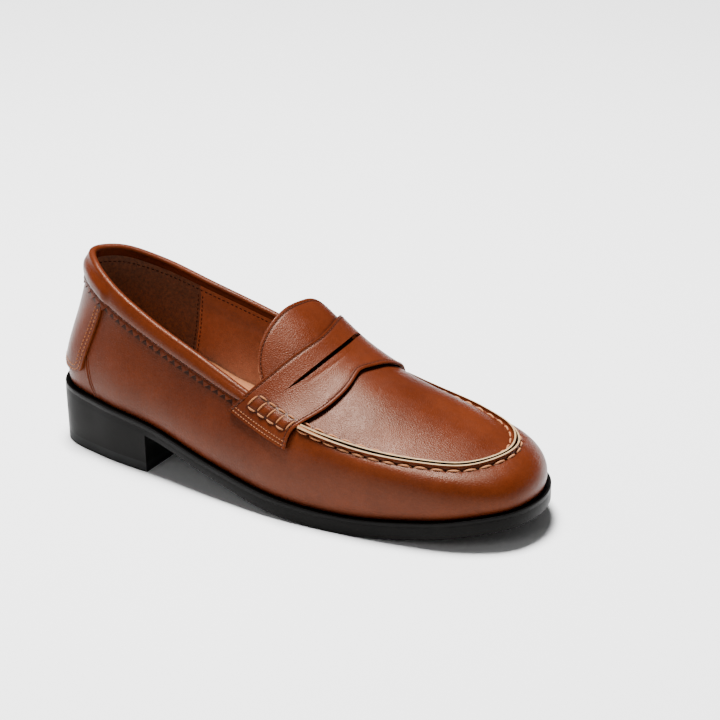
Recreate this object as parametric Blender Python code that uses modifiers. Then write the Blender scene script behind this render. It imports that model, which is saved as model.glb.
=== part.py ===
"""A right penny loafer, modelled as the pieces that a shoemaker cuts, lasts and nails together.

Frame, in metres: toe towards +X, lateral (outer) side towards -Y, +Z up. The origin is on the
ground, under the middle of the sole.

Two surfaces carry the whole upper. The wall climbs from the feather line, where the upper meets
the welt, to the top edge, and has coordinates (s, t): s runs once round the shoe, 0 at the back
of the heel, 0.5 at the toe, lateral side first, and t runs from 0 at the feather line to 1 at
the top edge. The arch spans the top edge from side to side over the instep and toes, and has
coordinates (x, v): v is -1 at the lateral top edge and 1 at the medial one. Past these values v
runs on down the wall, so a piece such as the saddle strap can cross the edge.
"""

import bmesh
import bpy
import numpy as np

# Overall sizes
LENGTH = 0.257
WIDTH = 0.0955
HEEL_RISE = 0.031  # ground to the top of the welt at the back
TREAD_RISE = 0.0087  # ground to the top of the welt under the ball of the foot
TOE_SPRING = 0.0092  # how far the toe of the sole turns up
BACK_HEIGHT = 0.0612  # upper above the welt at the back
CROWN_HEIGHT = 0.0305  # highest rise of the instep above the top edge

# Thicknesses
UPPER = 0.0011
STRAP = 0.0014
COLLAR = 0.0007
LINING = 0.0006
STIFFENER = 0.0008
WELT = 0.0024
INSOLE = 0.0020
SOCK = 0.0010
HEEL_PAD = 0.0030
HEEL_PAD_EDGE = 0.0006
TOP_PIECE = 0.0050
SHANK = 0.0012
CLEARANCE = 0.0003
SEAM_GAP = 0.0006  # between the two raised edges of the apron seam
BOARD_GAP = 0.0015  # between the insole board's edge and the upper
STRAP_GAP = 0.0006  # between the strap and what it lies on
ARCH_GAP = 0.0012  # between the apron and the sheets under it

# Bottom
FEATHER_INSET = 0.0028  # welt showing outside the upper
WELT_WIDTH = 0.012
LASTING_MARGIN = 0.010  # upper turned in under the insole
HEEL_LENGTH = 0.0625
HEEL_TAPER = 0.0010  # how far the heel draws in from its top to the ground
SHANK_LENGTH = 0.078
SHANK_WIDTH = 0.013
SHANK_SIDE = -0.004  # the waist's middle lies a little to the lateral side
NAIL_RADIUS = 0.0011
NAIL_HEAD_RADIUS = 0.0022
NAIL_HEAD = 0.0008
NAIL_LENGTH = 0.0180
# Shares of HEEL_LENGTH from the back, and of WIDTH
NAIL_SPOTS = ((0.35, 0.0), (0.54, 0.125), (0.54, -0.125), (0.83, 0.135), (0.83, -0.135))

# Upper
RIDGE = 0.0023  # height of the raised apron seam
RIDGE_RUN = 0.004  # it rises to this height over this length, from the strap's front edge
SEAM_FOOT, SEAM_TOP = 0.074, 0.056  # heel seam: its s at the feather line and above SEAM_TURN
SEAM_TURN = 0.40
BACKSTAY_SIDE = 0.057  # half the heel tab's span, in s
BACKSTAY_FOOT = 0.17
COLLAR_FOOT = 0.83  # t of the collar's outer edge
COLLAR_INSIDE = 0.92  # t of its edge inside the shoe
COUNTER_SIDE, COUNTER_TOP = 0.15, 0.68
GRIP_SIDE = 0.107
LINING_JOINT = 0.30  # s where the quarter lining meets the vamp lining
PUFF_START, PUFF_TOP = 0.40, 0.90
TONGUE_SIDE = 0.84  # half width of the tongue, in v
STRAP_BACK = 0.1373  # centre of the strap's rear edge, from the back of the shoe
STRAP_NOTCH = 0.1600  # its front edge, at the notch
SLOT_PLACE = 0.1462
SLOT_WIDTH = 0.0022
SLOT_SIDE = 0.68
STRAP_SKEW = 0.0045  # how far the strap's medial end lies ahead of its middle
STRAP_MEDIAL = 0.0032  # how much further forward the medial shoulder of the notch reaches
TONGUE_BACK = 0.1185
APRON_BACK = 0.1482  # the apron starts just ahead of the slot
LAP = 0.004  # how far the tongue runs on under the apron

# Outlines: shares of LENGTH and WIDTH, lateral side first
OUTLINE = (
    (0.0, 0.0), (0.024, -0.22), (0.13, -0.335), (0.27, -0.392), (0.41, -0.455),
    (0.55, -0.497), (0.68, -0.485), (0.80, -0.44), (0.905, -0.36), (0.98, -0.20),
    (1.0, 0.03), (0.98, 0.215), (0.93, 0.375), (0.84, 0.482), (0.71, 0.503),
    (0.57, 0.455), (0.44, 0.37), (0.30, 0.335), (0.13, 0.32), (0.024, 0.21),
)
# Top edge: share of LENGTH, lateral and medial shares of WIDTH, share of BACK_HEIGHT
TOP_EDGE = (
    (0.065, -0.099, 0.158, 0.992), (0.124, -0.193, 0.248, 0.923),
    (0.238, -0.272, 0.324, 0.784), (0.35, -0.321, 0.366, 0.730),
    (0.45, -0.361, 0.391, 0.670), (0.50, -0.376, 0.394, 0.634),
    (0.583, -0.413, 0.421, 0.582), (0.70, -0.408, 0.416, 0.500),
    (0.809, -0.345, 0.362, 0.418), (0.893, -0.233, 0.262, 0.346),
)
TOP_BACK = (0.031, 0.02, 1.0)
TOP_TOE = (0.939, 0.02, 0.338)
# Profiles along the shoe, against the share of LENGTH
RISE = ((0, 1), (0.12, 0.88), (0.235, 0.755), (0.39, 0.37), (0.545, 0.06), (0.68, 0), (0.84, 0),
        (1.05, 0))
SPRING = ((0, 0), (0.545, 0), (0.68, 0), (0.84, 0.42), (0.955, 0.93), (1.05, 1.25))
SOLE_EDGE = ((0, 0.64), (0.235, 0.62), (0.40, 0.69), (0.545, 0.92), (0.65, 1.0), (0.85, 0.94),
             (1.05, 0.90))
CROWN = ((0.28, 0.94), (0.35, 0.985), (0.43, 1.035), (0.50, 0.95), (0.58, 0.69), (0.70, 0.495),
         (0.80, 0.295), (0.88, 0.148), (0.939, 0.0), (1.05, -0.2))
CROWN_FULLNESS = 2.6
MEDIAL_FULLNESS = ((0.46, 4.8), (0.55, 2.7), (0.66, 2.0), (0.80, 2.6))
# How much higher the instep is on the medial side
CROWN_SKEW = ((0.43, 0.22), (0.50, 0.28), (0.58, 0.32), (0.70, 0.20), (0.80, 0.26))

AROUND = 72  # columns of faces round the upper
STATION_SHIFT = 0.4  # how much closer the columns stand at the toe and the heel
LEVELS = (0.0, 0.07, 0.15, 0.3, 0.45, 0.6, 0.7, 0.8, 0.9, 0.95, 1.0)  # rows of faces up the wall
LINING_TOP = 0.95  # t of the linings' top edge, under the collar
RUNGS = 48  # columns of faces along a slab
SEAM_SHARE = CLEARANCE / LENGTH  # half of a butt seam's gap, in s
UP = np.array([0.0, 0.0, 1.0])

COGNAC = (0.30, 0.085, 0.035)
DARK_LINING = (0.060, 0.025, 0.012)
OLIVE_SUEDE = (0.075, 0.050, 0.028)
TAN = (0.42, 0.22, 0.10)
BLACK = (0.022, 0.022, 0.024)


# ---- curves and surfaces ----------------------------------------------------------------

def smooth_curve(knots, values, at):
    """A cubic curve through values at knots, its slopes taken from the neighbouring points."""
    knots = np.asarray(knots, float)
    values = np.asarray(values, float)
    at = np.asarray(at, float)
    slopes = np.gradient(values, knots, axis=0)
    i = np.clip(np.searchsorted(knots, at, side="right") - 1, 0, len(knots) - 2)
    extra = (1,) * (values.ndim - 1)
    span = (knots[i + 1] - knots[i]).reshape(at.shape + extra)
    t = (at - knots[i]).reshape(at.shape + extra) / span
    start = (1 + 2 * t) * (1 - t) ** 2 * values[i] + t * (1 - t) ** 2 * span * slopes[i]
    end = t * t * (3 - 2 * t) * values[i + 1] - t * t * (1 - t) * span * slopes[i + 1]
    return start + end


def closed_curve(points, count=720):
    """A smooth closed loop through the points, as evenly spaced samples."""
    points = np.asarray(points, float)
    ring = np.vstack([points[-3:], points, points[:4]])
    knots = np.concatenate([[0], np.cumsum(np.linalg.norm(np.diff(ring, axis=0), axis=1))])
    samples = np.linspace(knots[3], knots[3 + len(points)], count, endpoint=False)
    return smooth_curve(knots, ring, samples)


def profile(pairs, x):
    """A named profile, read at x and level past its ends."""
    shares, values = zip(*pairs)
    return smooth_curve(shares, values, np.clip(share_of(x), shares[0], shares[-1]))


def share_of(x):
    return np.asarray(x, float) / LENGTH + 0.5


def from_back(distance):
    return distance - LENGTH / 2


def fade(start, end, x):
    """0 before start, 1 after end, smooth between them."""
    t = np.clip((np.asarray(x, float) - start) / (end - start), 0, 1)
    return t * t * (3 - 2 * t)


def welt_top(x):
    rise = (HEEL_RISE - TREAD_RISE) * profile(RISE, x)
    return TREAD_RISE + rise + TOE_SPRING * profile(SPRING, x)


def inset(loop, distance):
    """The loop moved inwards in plan, by one distance or by one for each point."""
    tangent = np.roll(loop, -1, 0)[:, :2] - np.roll(loop, 1, 0)[:, :2]
    inward = np.stack([-tangent[:, 1], tangent[:, 0]], -1)
    inward /= np.linalg.norm(inward, axis=1)[:, None]
    moved = loop.copy()
    moved[:, :2] += inward * np.reshape(distance, (-1, 1))
    return moved


def halves(loop):
    """The lateral and the medial half of a loop, each from its rearmost to its foremost point."""
    ring = np.roll(loop, -loop[:, 0].argmin(), axis=0)
    toe = ring[:, 0].argmax()
    return ring[:toe + 1], np.vstack([ring[toe:], ring[:1]])[::-1]


def sole_outline():
    loop = closed_curve([(u * LENGTH, v * WIDTH) for u, v in OUTLINE])
    low, high = loop.min(0), loop.max(0)
    return (loop - (low + high) / 2) * np.array([LENGTH, WIDTH]) / (high - low)


def top_edge():
    lateral = [(u, a, h) for u, a, b, h in TOP_EDGE]
    medial = [(u, b, h) for u, a, b, h in reversed(TOP_EDGE)]
    points = []
    for u, side, share in [TOP_BACK, *lateral, TOP_TOE, *medial]:
        x = (u - 0.5) * LENGTH
        points.append((x, side * WIDTH, float(welt_top(x)) + share * BACK_HEIGHT))
    return closed_curve(points)


SOLE = sole_outline()
FEATHER = inset(SOLE, FEATHER_INSET)
FEATHER = np.column_stack([FEATHER, welt_top(FEATHER[:, 0]) + CLEARANCE])
TOP = top_edge()


def round_the_shoe(loop, s):
    """The loop's points at s, each half measured by its own length."""
    s = np.asarray(s, float) % 1.0
    found = []
    for half, share in zip(halves(loop), (s * 2, (1 - s) * 2)):
        steps = np.linalg.norm(np.diff(half, axis=0), axis=1)
        length = np.concatenate([[0], np.cumsum(steps)])
        at = np.clip(share, 0, 1) * length[-1]
        found.append(np.stack([np.interp(at, length, column) for column in half.T], -1))
    return np.where((s <= 0.5)[..., None], found[0], found[1])


def s_at(x, medial, loop=TOP):
    """The s of the loop's point at x on one side."""
    half = halves(loop)[1 if medial else 0]
    length = np.concatenate([[0], np.cumsum(np.linalg.norm(np.diff(half, axis=0), axis=1))])
    share = np.interp(x, half[:, 0], length) / length[-1] / 2
    return 1 - share if medial else share


def outward(s):
    step = 1e-3
    along = round_the_shoe(FEATHER, s + step) - round_the_shoe(FEATHER, s - step)
    side = np.stack([along[..., 1], -along[..., 0], 0 * along[..., 0]], -1)
    return side / np.linalg.norm(side, axis=-1)[..., None]


def wall(s, t):
    """The upper's outer surface: a cubic from the feather line to the top edge at each s."""
    s, t = np.broadcast_arrays(np.asarray(s, float), np.asarray(t, float))
    foot = round_the_shoe(FEATHER, s)
    top = round_the_shoe(TOP, s)
    side = outward(s)
    share = share_of(foot[..., 0])
    fore = fade(0.30, 0.72, share)[..., None]
    back = 1 - fade(0.0, 0.12, share)[..., None]
    rise = (top - foot)[..., 2:]
    reach = np.linalg.norm((top - foot)[..., :2], axis=-1)[..., None]
    low = foot + side * (0.0045 - 0.0010 * fore + 0.0008 * back)
    low = low + UP * rise * (0.30 + 0.25 * fore)
    high = top + side * (0.0030 * (1 - fore) * (1 - back) + 0.62 * reach * fore + 0.001 * back)
    high = high - UP * rise * (0.42 - 0.32 * fore)
    t = t[..., None]
    ends = foot * (1 - t) ** 3 + top * t ** 3
    return ends + 3 * low * t * (1 - t) ** 2 + 3 * high * t * t * (1 - t)


def wall_normal(s, t):
    step = 1e-3
    along = wall(s + step, t) - wall(s - step, t)
    climb = wall(s, np.minimum(t + step, 1)) - wall(s, np.maximum(t - step, 0))
    normal = np.cross(along, climb)
    return normal / np.linalg.norm(normal, axis=-1)[..., None]


def under_wall(s, t, depth):
    return wall(s, t) - wall_normal(s, t) * np.asarray(depth)[..., None]


def t_at_height(s, height):
    """The t at which the wall is this high above its foot."""
    t = np.linspace(0, 1, 201)
    climb = wall(np.asarray(s, float)[..., None], t)[..., 2]
    climb = climb - climb[..., :1]
    return np.array([np.interp(height, row, t) for row in climb.reshape(-1, 201)]).reshape(np.shape(s))


def arch_height(x, y):
    """Height of the arch over a point of the plan."""
    lateral, medial = halves(TOP)
    (low_y, low_z), (high_y, high_z) = (
        [np.interp(x, half[:, 0], half[:, column]) for column in (1, 2)] for half in (lateral, medial)
    )
    v = np.clip((2 * y - low_y - high_y) / np.maximum(high_y - low_y, 1e-6), -1, 1)
    edge = low_z + (high_z - low_z) * (1 + v) / 2
    crown = np.maximum(CROWN_HEIGHT * profile(CROWN, x), 0)
    side = v - profile(CROWN_SKEW, x) * (1 - v * v)
    fuller = (profile(MEDIAL_FULLNESS, x) - CROWN_FULLNESS) * fade(0, 0.3, side)
    return edge + crown * (1 - np.abs(side) ** (CROWN_FULLNESS + fuller))


def over(x, v):
    """The arch at (x, v), running on down the lateral wall below -1 and the medial wall above 1."""
    x, v = np.broadcast_arrays(np.asarray(x, float), np.asarray(v, float))
    lateral, medial = (np.interp(x, half[:, 0], half[:, 1]) for half in halves(TOP))
    y = lateral + (medial - lateral) * (1 + np.clip(v, -1, 1)) / 2
    arch = np.stack([x, y, arch_height(x, y)], -1)
    near = wall(s_at(x, False), np.clip(2 + v, 0, 1))
    far = wall(s_at(x, True), np.clip(2 - v, 0, 1))
    return np.where((v < -1)[..., None], near, np.where((v > 1)[..., None], far, arch))


def under_arch(x, v, depth):
    step = 1e-4
    along = over(x + step, v) - over(x - step, v)
    across = over(x, v + 100 * step) - over(x, v - 100 * step)
    normal = np.cross(along, across)
    return over(x, v) - normal / np.linalg.norm(normal, axis=-1)[..., None] * depth[..., None]


# ---- making solids ----------------------------------------------------------------------

def finish(mesh_object, colour, roughness, metallic=0.0):
    material = bpy.data.materials.new(mesh_object.name)
    material.use_nodes = True
    shader = material.node_tree.nodes["Principled BSDF"]
    shader.inputs["Base Color"].default_value = (*colour, 1.0)
    shader.inputs["Roughness"].default_value = roughness
    shader.inputs["Metallic"].default_value = metallic
    mesh_object.data.materials.append(material)
    mesh_object.data.shade_smooth()
    mesh_object.data.set_sharp_from_angle(angle=0.6)
    return mesh_object


def mesh_object(name, points, faces, collection, weld=1e-6, closed=True):
    """An object from points and faces, coincident points welded; a closed one is made to face out."""
    mesh = bpy.data.meshes.new(name)
    mesh.from_pydata([tuple(point) for point in points], [], faces)
    work = bmesh.new()
    work.from_mesh(mesh)
    bmesh.ops.remove_doubles(work, verts=work.verts, dist=weld)
    bmesh.ops.dissolve_degenerate(work, edges=work.edges, dist=weld)
    if closed:
        bmesh.ops.recalc_face_normals(work, faces=work.faces)
    work.to_mesh(mesh)
    work.free()
    made = bpy.data.objects.new(name, mesh)
    collection.objects.link(made)
    return made


def grid_faces(rows, columns):
    """Quads of a grid of rows x columns points that face along (row direction) x (column direction)."""
    return [
        (i * columns + j, (i + 1) * columns + j, (i + 1) * columns + j + 1, i * columns + j + 1)
        for i in range(rows - 1)
        for j in range(columns - 1)
    ]


def layer(name, grid, thickness, collection, depth=0.0, faces=None):
    """A sheet under a grid of points: its outer face lies at depth, its inner face thickness below.

    The grid's first axis runs along s or x and its second along t or from lateral to medial.
    """
    faces = grid_faces(*grid.shape[:2]) if faces is None else faces
    made = mesh_object(name, grid.reshape(-1, 3), faces, collection, 1e-5, closed=False)
    sheet = made.modifiers.new("thickness", "SOLIDIFY")
    sheet.thickness = thickness
    sheet.offset = -1 - 2 * depth / thickness
    sheet.use_even_offset = True
    return made


def rungs(outline, ends, count=RUNGS):
    """Pairs of outline points at the same x, close together where the outline is round."""
    lateral, medial = halves(outline)
    start = lateral[0, 0] if ends[0] is None else ends[0]
    end = lateral[-1, 0] if ends[1] is None else ends[1]
    x = start + (end - start) * (1 - np.cos(np.pi * np.arange(count + 1) / count)) / 2
    return x, np.interp(x, lateral[:, 0], lateral[:, 1]), np.interp(x, medial[:, 0], medial[:, 1])


def slab(name, outline, low, high, collection, ends=(None, None), lower_outline=None):
    """A plate with this outline between the heights low(x) and high(x)."""
    lower_outline = outline if lower_outline is None else lower_outline
    corners = []
    for shape, height, side in (
        (lower_outline, low, 1), (lower_outline, low, 2), (outline, high, 2), (outline, high, 1)
    ):
        found = rungs(shape, ends)
        corners.append(np.stack([found[0], found[side], height(found[0])], -1))
    count = len(corners[0])
    faces = []
    for side in range(4):
        start, beside = side * count, (side + 1) % 4 * count
        faces += [(start + i, start + i + 1, beside + i + 1, beside + i) for i in range(count - 1)]
    faces.append(tuple(side * count for side in range(4)))
    faces.append(tuple(side * count + count - 1 for side in range(4)))
    return mesh_object(name, np.vstack(corners), faces, collection)


def ring(name, outer, inner, low, high, collection):
    """A closed band between two loops, from low(x) to high(x)."""
    s = np.arange(AROUND) / AROUND
    corners = []
    for loop, height in ((outer, low), (outer, high), (inner, high), (inner, low)):
        plan = round_the_shoe(loop, s)
        corners.append(np.column_stack([plan, height(plan[:, 0])]))
    faces = [
        (side * AROUND + i, side * AROUND + (i + 1) % AROUND,
         (side + 1) % 4 * AROUND + (i + 1) % AROUND, (side + 1) % 4 * AROUND + i)
        for side in range(4)
        for i in range(AROUND)
    ]
    return mesh_object(name, np.vstack(corners), faces, collection)


def pin(name, place, top, length, collection, clearance=0.0, above=0.0):
    """A nail with a flat head, its top at this height, turned from its half profile."""
    shaft, head = NAIL_RADIUS + clearance, NAIL_HEAD_RADIUS + clearance
    half = (
        (0, above), (head, above), (head, -NAIL_HEAD - clearance), (shaft, -NAIL_HEAD - clearance),
        (shaft, -length - clearance), (0, -length - clearance),
    )
    mesh = bpy.data.meshes.new(name)
    mesh.from_pydata([(radius, 0, z) for radius, z in half], [(i, i + 1) for i in range(5)], [])
    made = bpy.data.objects.new(name, mesh)
    collection.objects.link(made)
    made.location = (*place, top)
    turn = made.modifiers.new("turn", "SCREW")
    turn.steps = turn.render_steps = 12
    turn.use_merge_vertices = True
    turn.merge_threshold = 1e-5
    return made


def drill(target, cutter):
    cut = target.modifiers.new("hole for " + cutter.name, "BOOLEAN")
    cut.operation = "DIFFERENCE"
    cut.object = cutter


# ---- heights of the bottom parts ----------------------------------------------------------

MARGIN_TOP = CLEARANCE + UPPER
BOARD_FOOT = MARGIN_TOP + 2 * CLEARANCE
BOARD_TOP = BOARD_FOOT + INSOLE
LINING_FOOT = BOARD_TOP + 2 * CLEARANCE
HEEL_BREAST = from_back(HEEL_LENGTH)
PAD_END = from_back(HEEL_LENGTH + 0.016)
FILLER_JOINT = from_back(0.140)


def above_welt(height):
    return lambda x: welt_top(x) + height


def outsole_foot(x):
    return np.maximum(welt_top(x) - TREAD_RISE * profile(SOLE_EDGE, x), 0)


def heel_pad_top(x):
    soft = 1 - fade(HEEL_BREAST - 0.006, PAD_END, x)
    return welt_top(x) + BOARD_TOP + CLEARANCE + HEEL_PAD_EDGE + (HEEL_PAD - HEEL_PAD_EDGE) * soft


def capsule(start, end, middle, width, count=48):
    """A strip with round ends, as a closed plan outline."""
    turn = 2 * np.pi * (np.arange(count) + 0.5) / count - np.pi
    centre = np.where(np.cos(turn) > 0, end - width / 2, start + width / 2)
    return np.stack([centre + np.cos(turn) * width / 2, middle + np.sin(turn) * width / 2], -1)


# ---- bottom -------------------------------------------------------------------------------

def make_heel(collection):
    heel_height = float(outsole_foot(from_back(0.0)))
    joint = TOP_PIECE / heel_height
    sides = {level: inset(SOLE, HEEL_TAPER * (1 - level)) for level in (0.0, joint, 1.0)}
    top_piece = slab(
        "heel_top_piece", sides[joint], lambda x: 0 * x, lambda x: 0 * x + TOP_PIECE,
        collection, (None, HEEL_BREAST), sides[0.0],
    )
    finish(top_piece, BLACK, 0.55)
    block = slab(
        "heel_block", sides[1.0], lambda x: 0 * x + TOP_PIECE + CLEARANCE,
        lambda x: outsole_foot(x) - CLEARANCE, collection, (None, HEEL_BREAST), sides[joint],
    )
    return finish(block, BLACK, 0.4)


def make_sole(collection):
    outsole = slab("outsole", SOLE, outsole_foot, above_welt(-WELT - CLEARANCE), collection)
    finish(outsole, BLACK, 0.5)
    welt = ring(
        "welt", SOLE, inset(SOLE, WELT_WIDTH), above_welt(-WELT), above_welt(0.0), collection
    )
    finish(welt, BLACK, 0.4)
    return outsole


def make_fillings(collection):
    inside = inset(SOLE, FEATHER_INSET + LASTING_MARGIN + 2 * CLEARANCE)
    floor = above_welt(-WELT)
    cork = slab(
        "bottom_filler", inside, floor, above_welt(MARGIN_TOP), collection,
        (FILLER_JOINT + CLEARANCE, None),
    )
    finish(cork, (0.30, 0.17, 0.08), 0.9)
    seat = slab(
        "seat_filler", inside, floor, above_welt(MARGIN_TOP - SHANK - CLEARANCE), collection,
        (None, FILLER_JOINT),
    )
    finish(seat, (0.35, 0.25, 0.15), 0.9)
    start = HEEL_BREAST - 0.004
    strip = capsule(start, start + SHANK_LENGTH, SHANK_SIDE, SHANK_WIDTH)
    shank = slab(
        "shank", strip, above_welt(MARGIN_TOP - SHANK), above_welt(MARGIN_TOP), collection
    )
    finish(shank, (0.55, 0.55, 0.56), 0.35, 1.0)
    return seat, shank


def make_insole(collection):
    board = slab(
        "insole_board", inset(SOLE, FEATHER_INSET + UPPER + BOARD_GAP),
        above_welt(BOARD_FOOT), above_welt(BOARD_TOP), collection,
    )
    finish(board, (0.45, 0.33, 0.20), 0.85)
    inner_edge = FEATHER_INSET + UPPER + STIFFENER + LINING + 4 * CLEARANCE
    pad = slab(
        "heel_pad", inset(SOLE, inner_edge + 0.003), above_welt(BOARD_TOP + CLEARANCE),
        heel_pad_top, collection, (None, PAD_END),
    )
    finish(pad, (0.60, 0.56, 0.45), 0.95)
    sock = slab(
        "sock_lining", inset(SOLE, inner_edge + 0.0006), lambda x: heel_pad_top(x) + CLEARANCE,
        lambda x: heel_pad_top(x) + CLEARANCE + SOCK, collection,
    )
    finish(sock, TAN, 0.6)
    return board


def make_fasteners(collection, cutters, board, seat, shank, outsole, block):
    """Heel nails down into the heel block and rivets that hold the shank to the insole board."""
    spots = [
        (f"heel_nail_{i + 1}", (from_back(x * HEEL_LENGTH), y * WIDTH), NAIL_LENGTH, (board, seat, outsole, block))
        for i, (x, y) in enumerate(NAIL_SPOTS)
    ]
    shank_start = HEEL_BREAST - 0.004
    spots += [
        (f"shank_rivet_{i + 1}", (shank_start + share * SHANK_LENGTH, SHANK_SIDE),
         INSOLE + SHANK, (board, shank))
        for i, share in enumerate((0.2, 0.8))
    ]
    for name, place, length, drilled in spots:
        top = float(welt_top(place[0])) + BOARD_TOP - CLEARANCE
        steel = pin(name, place, top, length, collection)
        finish(steel, (0.60, 0.60, 0.60), 0.35, 1.0)
        hole = pin("hole_" + name, place, top, length, cutters, CLEARANCE, INSOLE)
        hole.hide_render = True
        hole.display_type = "WIRE"
        for target in drilled:
            drill(target, hole)


# ---- upper --------------------------------------------------------------------------------

def seam_line(t):
    """The heel seam's s at t: it leans back up to SEAM_TURN, then runs straight up."""
    return SEAM_FOOT + (SEAM_TOP - SEAM_FOOT) * np.minimum(np.asarray(t) / SEAM_TURN, 1)


def ridge_start(medial):
    """Where the raised seam comes out from under the strap, on one side."""
    return strap_front(1.0 if medial else -1.0) + SEAM_GAP


def stations():
    """The s of every column of faces on the wall, so that all its sheets share their columns."""
    k = np.arange(-AROUND // 2, AROUND + AROUND // 2) / AROUND
    even = k - STATION_SHIFT * np.sin(4 * np.pi * k) / (4 * np.pi)
    starts = [float(s_at(ridge_start(medial), medial)) for medial in (False, True)]
    kept = [s for s in even if min(abs(s - start) for start in starts) > 0.004]
    return np.array(sorted(kept + starts))


def raised_edge(s):
    """From the top edge at s to the raised seam's crest."""
    x = round_the_shoe(TOP, s)[..., 0]
    start = np.where(s <= 0.5, ridge_start(False), ridge_start(True))
    return wall_normal(s, 1.0) * (RIDGE * fade(start, start + RIDGE_RUN, x))[..., None]


def wall_sheet(first, last, foot=0.0, top=1.0):
    """(s, t) of a sheet on the wall between two lines of s and two of t.

    first and last are numbers or functions of t, and foot is a number or a function of s.
    """
    line = [edge if callable(edge) else (lambda t, edge=edge: edge + 0 * t) for edge in (first, last)]
    everywhere = np.linspace(0, 1, 21)
    low, high = line[0](everywhere).min(), line[1](everywhere).max()
    lines = stations()
    columns = np.array([low, *lines[(lines > low + 0.001) & (lines < high - 0.001)], high])
    feet = foot(columns) if callable(foot) else foot + 0 * columns
    levels = [t for t in LEVELS if feet.max() + 0.02 < t < top - 0.02]
    t = np.array([[start, *levels, top] for start in feet])
    return np.clip(columns[:, None], line[0](t), line[1](t)), t


def with_margin(s, t):
    """The wall sheet with its lasting margin, turned in over the welt."""
    under = inset(FEATHER, LASTING_MARGIN)
    under[:, 2] = welt_top(under[:, 0]) + CLEARANCE
    return np.concatenate([round_the_shoe(under, s[:, :1]), wall(s, t)], axis=1)


def make_vamp(collection):
    s, t = wall_sheet(
        lambda t: seam_line(t) + SEAM_SHARE, lambda t: 1 - seam_line(t) - SEAM_SHARE
    )
    grid = with_margin(s, t)
    crest = grid[:, -1:] + raised_edge(s[:, -1:])
    vamp = layer("vamp", np.concatenate([grid, crest], axis=1), UPPER, collection)
    finish(vamp, COGNAC, 0.4)


def make_heel_quarter(collection):
    s, t = wall_sheet(lambda t: SEAM_SHARE - seam_line(t), lambda t: seam_line(t) - SEAM_SHARE)
    quarter = layer("heel_quarter", with_margin(s, t), UPPER, collection)
    finish(quarter, COGNAC, 0.4)


def make_backstay(collection):
    """The heel tab: straight sides, round lower corners."""
    s, t = wall_sheet(
        -BACKSTAY_SIDE, BACKSTAY_SIDE,
        lambda s: BACKSTAY_FOOT + 0.10 * np.abs(s / BACKSTAY_SIDE) ** 4, COLLAR_FOOT - 0.01,
    )
    backstay = layer("backstay", wall(s, t), UPPER, collection, -CLEARANCE - UPPER)
    finish(backstay, COGNAC, 0.4)


def strap_shift(v):
    return STRAP_SKEW * np.asarray(v, float)


def strap_back(v):
    return from_back(STRAP_BACK) - 0.0132 * np.abs(v) ** 1.6 + strap_shift(v)


def strap_front(v):
    """Two shoulders either side of the notch, then back along the strap's ends."""
    side = np.abs(v)
    shoulders = smooth_curve((0, 0.05, 0.35, 0.62, 0.98, 1.41, 1.6),
                             (0, 0.0006, 0.0030, 0.0012, -0.0056, -0.0088, -0.0095), side)
    return from_back(STRAP_NOTCH) + shoulders + strap_shift(v) + STRAP_MEDIAL * fade(0.25, 0.75, v)


def slot_middle(v):
    return from_back(SLOT_PLACE) - 0.012 * np.asarray(v) ** 2 + strap_shift(v)


def strap_foot(share):
    """How far down the wall the strap's ends reach, from its rear to its front edge."""
    return 1.27 + 0.14 * share


def slot_share(v):
    """The slot's place between the strap's rear edge, 0, and its front edge, 1."""
    v = np.clip(v, -SLOT_SIDE, SLOT_SIDE)
    return (slot_middle(v) - strap_back(v)) / (strap_front(v) - strap_back(v))


def strap_rows():
    """(v, end) of the strap's rows: v inside the top edge, and past it how far down its end, 0 to 1."""
    bend = np.linspace(SLOT_SIDE, 1, 3)[1:]
    inner = np.concatenate([-bend[::-1], np.linspace(-SLOT_SIDE, SLOT_SIDE, 13), bend])
    drops = np.linspace(0, 1, 4)[1:]
    rows = [(-1.0, drop) for drop in drops[::-1]]
    rows += [(v, 0.0) for v in inner]
    return rows + [(1.0, drop) for drop in drops]


def make_strap(collection):
    """The saddle strap, with its notch and its slot, down to its ends on both walls."""
    columns = ((0.0, 0), (0.55, 0), (1.0, -1), (1.0, 1), (1.5, 0), (2.0, 0))
    rows = []
    for side, drop in strap_rows():
        row = []
        for place, slot_edge in columns:
            v = side * (1 + (strap_foot(place / 2) - 1) * drop)
            half_slot = SLOT_WIDTH / 2 * np.sqrt(max(1 - (v / SLOT_SIDE) ** 4, 0))
            back, front = strap_back(v), strap_front(v)
            middle = back + (front - back) * slot_share(v) + slot_edge * half_slot
            rear = back + (middle - back) * min(place, 1)
            row.append(over(rear + (front - middle) * max(place - 1, 0), v))
        rows.append(row)
    grid = np.array(rows)
    faces = [
        face[::-1]
        for i, face in enumerate(grid_faces(*grid.shape[:2]))
        if i % (len(columns) - 1) != 2
    ]
    strap = layer("saddle_strap", grid, STRAP, collection, -STRAP_GAP - STRAP, faces)
    finish(strap, COGNAC, 0.38)


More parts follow.
